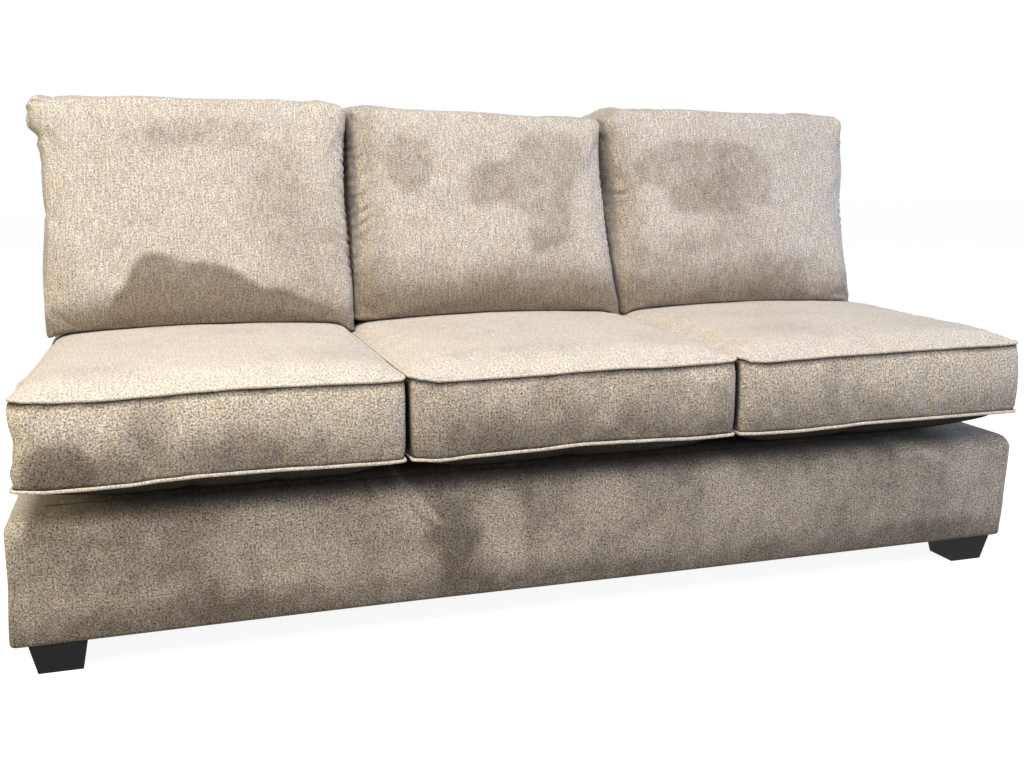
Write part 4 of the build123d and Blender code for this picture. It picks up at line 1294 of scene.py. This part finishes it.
# %% Fabric finishes on the pieces
# The side walls' and the base's darker colours are partly painted shade and partly the pile's own lie.
seat_finish = chenille_material(
    "seat_chenille", (0.655, 0.58, 0.5), (0.36, 0.3, 0.245), slub=0.6, contrast=0.85,
    clouds=0.55, wall=((0.59, 0.505, 0.405), (0.18, 0.145, 0.11), 1.5))
back_finish = chenille_material(
    "back_chenille", (0.565, 0.5, 0.435), (0.22, 0.175, 0.13), clouds=0.5, contrast=1.1)
welt_finish = chenille_material("welt_chenille", (0.7, 0.62, 0.52), (0.45, 0.38, 0.3), slub=0.2)
base_finish = chenille_material(
    "base_chenille", (0.505, 0.43, 0.345), (0.16, 0.128, 0.098), slub=0.5, contrast=1.6,
    clouds=0.75, start=0.42)


def dress(piece, material, body, replaced):
    """Gives a piece its finish and its body, and hides the frame nodes it stands for."""
    piece.data.materials.clear()
    piece.data.materials.append(material)
    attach(piece, body)
    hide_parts(*replaced)


for side in SIDES:
    dress(seat_pieces[side], seat_finish, f"seat_cushion_{side}",
          [f"seat_cover_{side}", f"seat_core_{side}"])
    dress(welt_pieces[side], welt_finish, f"seat_cushion_{side}", [f"seat_welts_{side}"])
    dress(back_pieces[side], back_finish, f"back_cushion_{side}",
          [f"back_cover_{side}", f"back_fill_{side}"])
dress(band, base_finish, "sofa_frame", ["base_cover", "base_padding"])
dress(back_cover, base_finish, "sofa_frame", ["inside_back_cover", "back_padding"])
dress(rear_cover, base_finish, "sofa_frame", ["outside_back_cover"])
dress(deck, base_finish, "sofa_frame", ["deck_cloth", "deck_foam"])
print("dressed in chenille: 3 seats, 3 pairs of welts, 3 backs, the band, both covers and the deck")

# %% [markdown]
# The rest keeps its shape from the frame and only gets a better finish: lacquered legs, pine rails, steel
# springs, foam, felt and webbing. Their patterns lie on the piece's own place in the frame, so the grain
# runs along each rail and down each leg.
# %% Finishes of the frame's own pieces
def plain_finish(name, colour, rough, metal=0.0, grain=(40.0, 40.0, 40.0), bump=0.0, gloss=0.5):
    """A finish that goes from its colour to a darker one with cloudy noise. grain is the number of clouds
    in a metre along each axis, so a low number draws them out along that axis."""
    material = bpy.data.materials.new(name)
    material.use_nodes = True
    tree = material.node_tree
    surface = tree.nodes["Principled BSDF"]
    place = stretched(tree, add_node(tree, "TexCoord").outputs["Object"], grain)
    pattern = noise(tree, place, 1.0, 4.0, 0.6)
    darker = [0.72 * c for c in colour] + [1]
    colours = mixed(tree, remap(tree, pattern, 0.3, 0.7), (*colour, 1), darker)
    tree.links.new(colours, surface.inputs["Base Color"])
    if bump:
        bumps = add_node(tree, "Bump", {"Strength": bump, "Distance": 0.6 * mm, "Height": pattern})
        tree.links.new(bumps.outputs[0], surface.inputs["Normal"])
    surface.inputs["Roughness"].default_value = rough
    surface.inputs["Metallic"].default_value = metal
    surface.inputs["Specular IOR Level"].default_value = gloss
    return material


finishes = {
    "frame_wood": plain_finish("pine", (0.58, 0.4, 0.22), 0.6, grain=(12.0, 60.0, 60.0), bump=0.2),
    "leg_wood": plain_finish("black_lacquered_wood", (0.007, 0.0065, 0.008), 0.5, grain=(160.0, 160.0, 14.0),
                             bump=0.2, gloss=0.2),
    "backing_board": plain_finish("hardboard", (0.3, 0.18, 0.09), 0.7, grain=(200.0, 200.0, 200.0)),
    "foam": plain_finish("foam", (0.82, 0.74, 0.5), 0.9, grain=(900.0, 900.0, 900.0), bump=0.5),
    "fibre_fill": plain_finish("fibre_fill", (0.85, 0.84, 0.82), 0.95, grain=(300.0, 300.0, 300.0)),
    "felt": plain_finish("felt", (0.32, 0.3, 0.28), 0.95, grain=(400.0, 400.0, 400.0), bump=0.4),
    "webbing": plain_finish("webbing", (0.42, 0.32, 0.2), 0.85, grain=(900.0, 900.0, 120.0), bump=0.4),
    "dust_cloth": plain_finish("dust_cloth", (0.03, 0.03, 0.032), 0.9, grain=(500.0, 500.0, 500.0)),
    "spring_steel": plain_finish("spring_steel", (0.32, 0.3, 0.29), 0.38, metal=1.0),
    "zinc_steel": plain_finish("zinc_steel", (0.62, 0.64, 0.66), 0.35, metal=1.0),
    "zip_nylon": plain_finish("zip_tape", (0.55, 0.47, 0.38), 0.8, grain=(500.0, 500.0, 500.0), bump=0.3),
    "zip_metal": plain_finish("zip_metal", (0.55, 0.52, 0.46), 0.3, metal=1.0),
}
dress(dust, finishes["dust_cloth"], "sofa_frame", ["dust_cover"])
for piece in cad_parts.values():
    for material_slot in piece.material_slots:
        if material_slot.material and material_slot.material.name in finishes:
            material_slot.material = finishes[material_slot.material.name]
print("finishes:", len(finishes), "plain ones and 4 kinds of chenille")
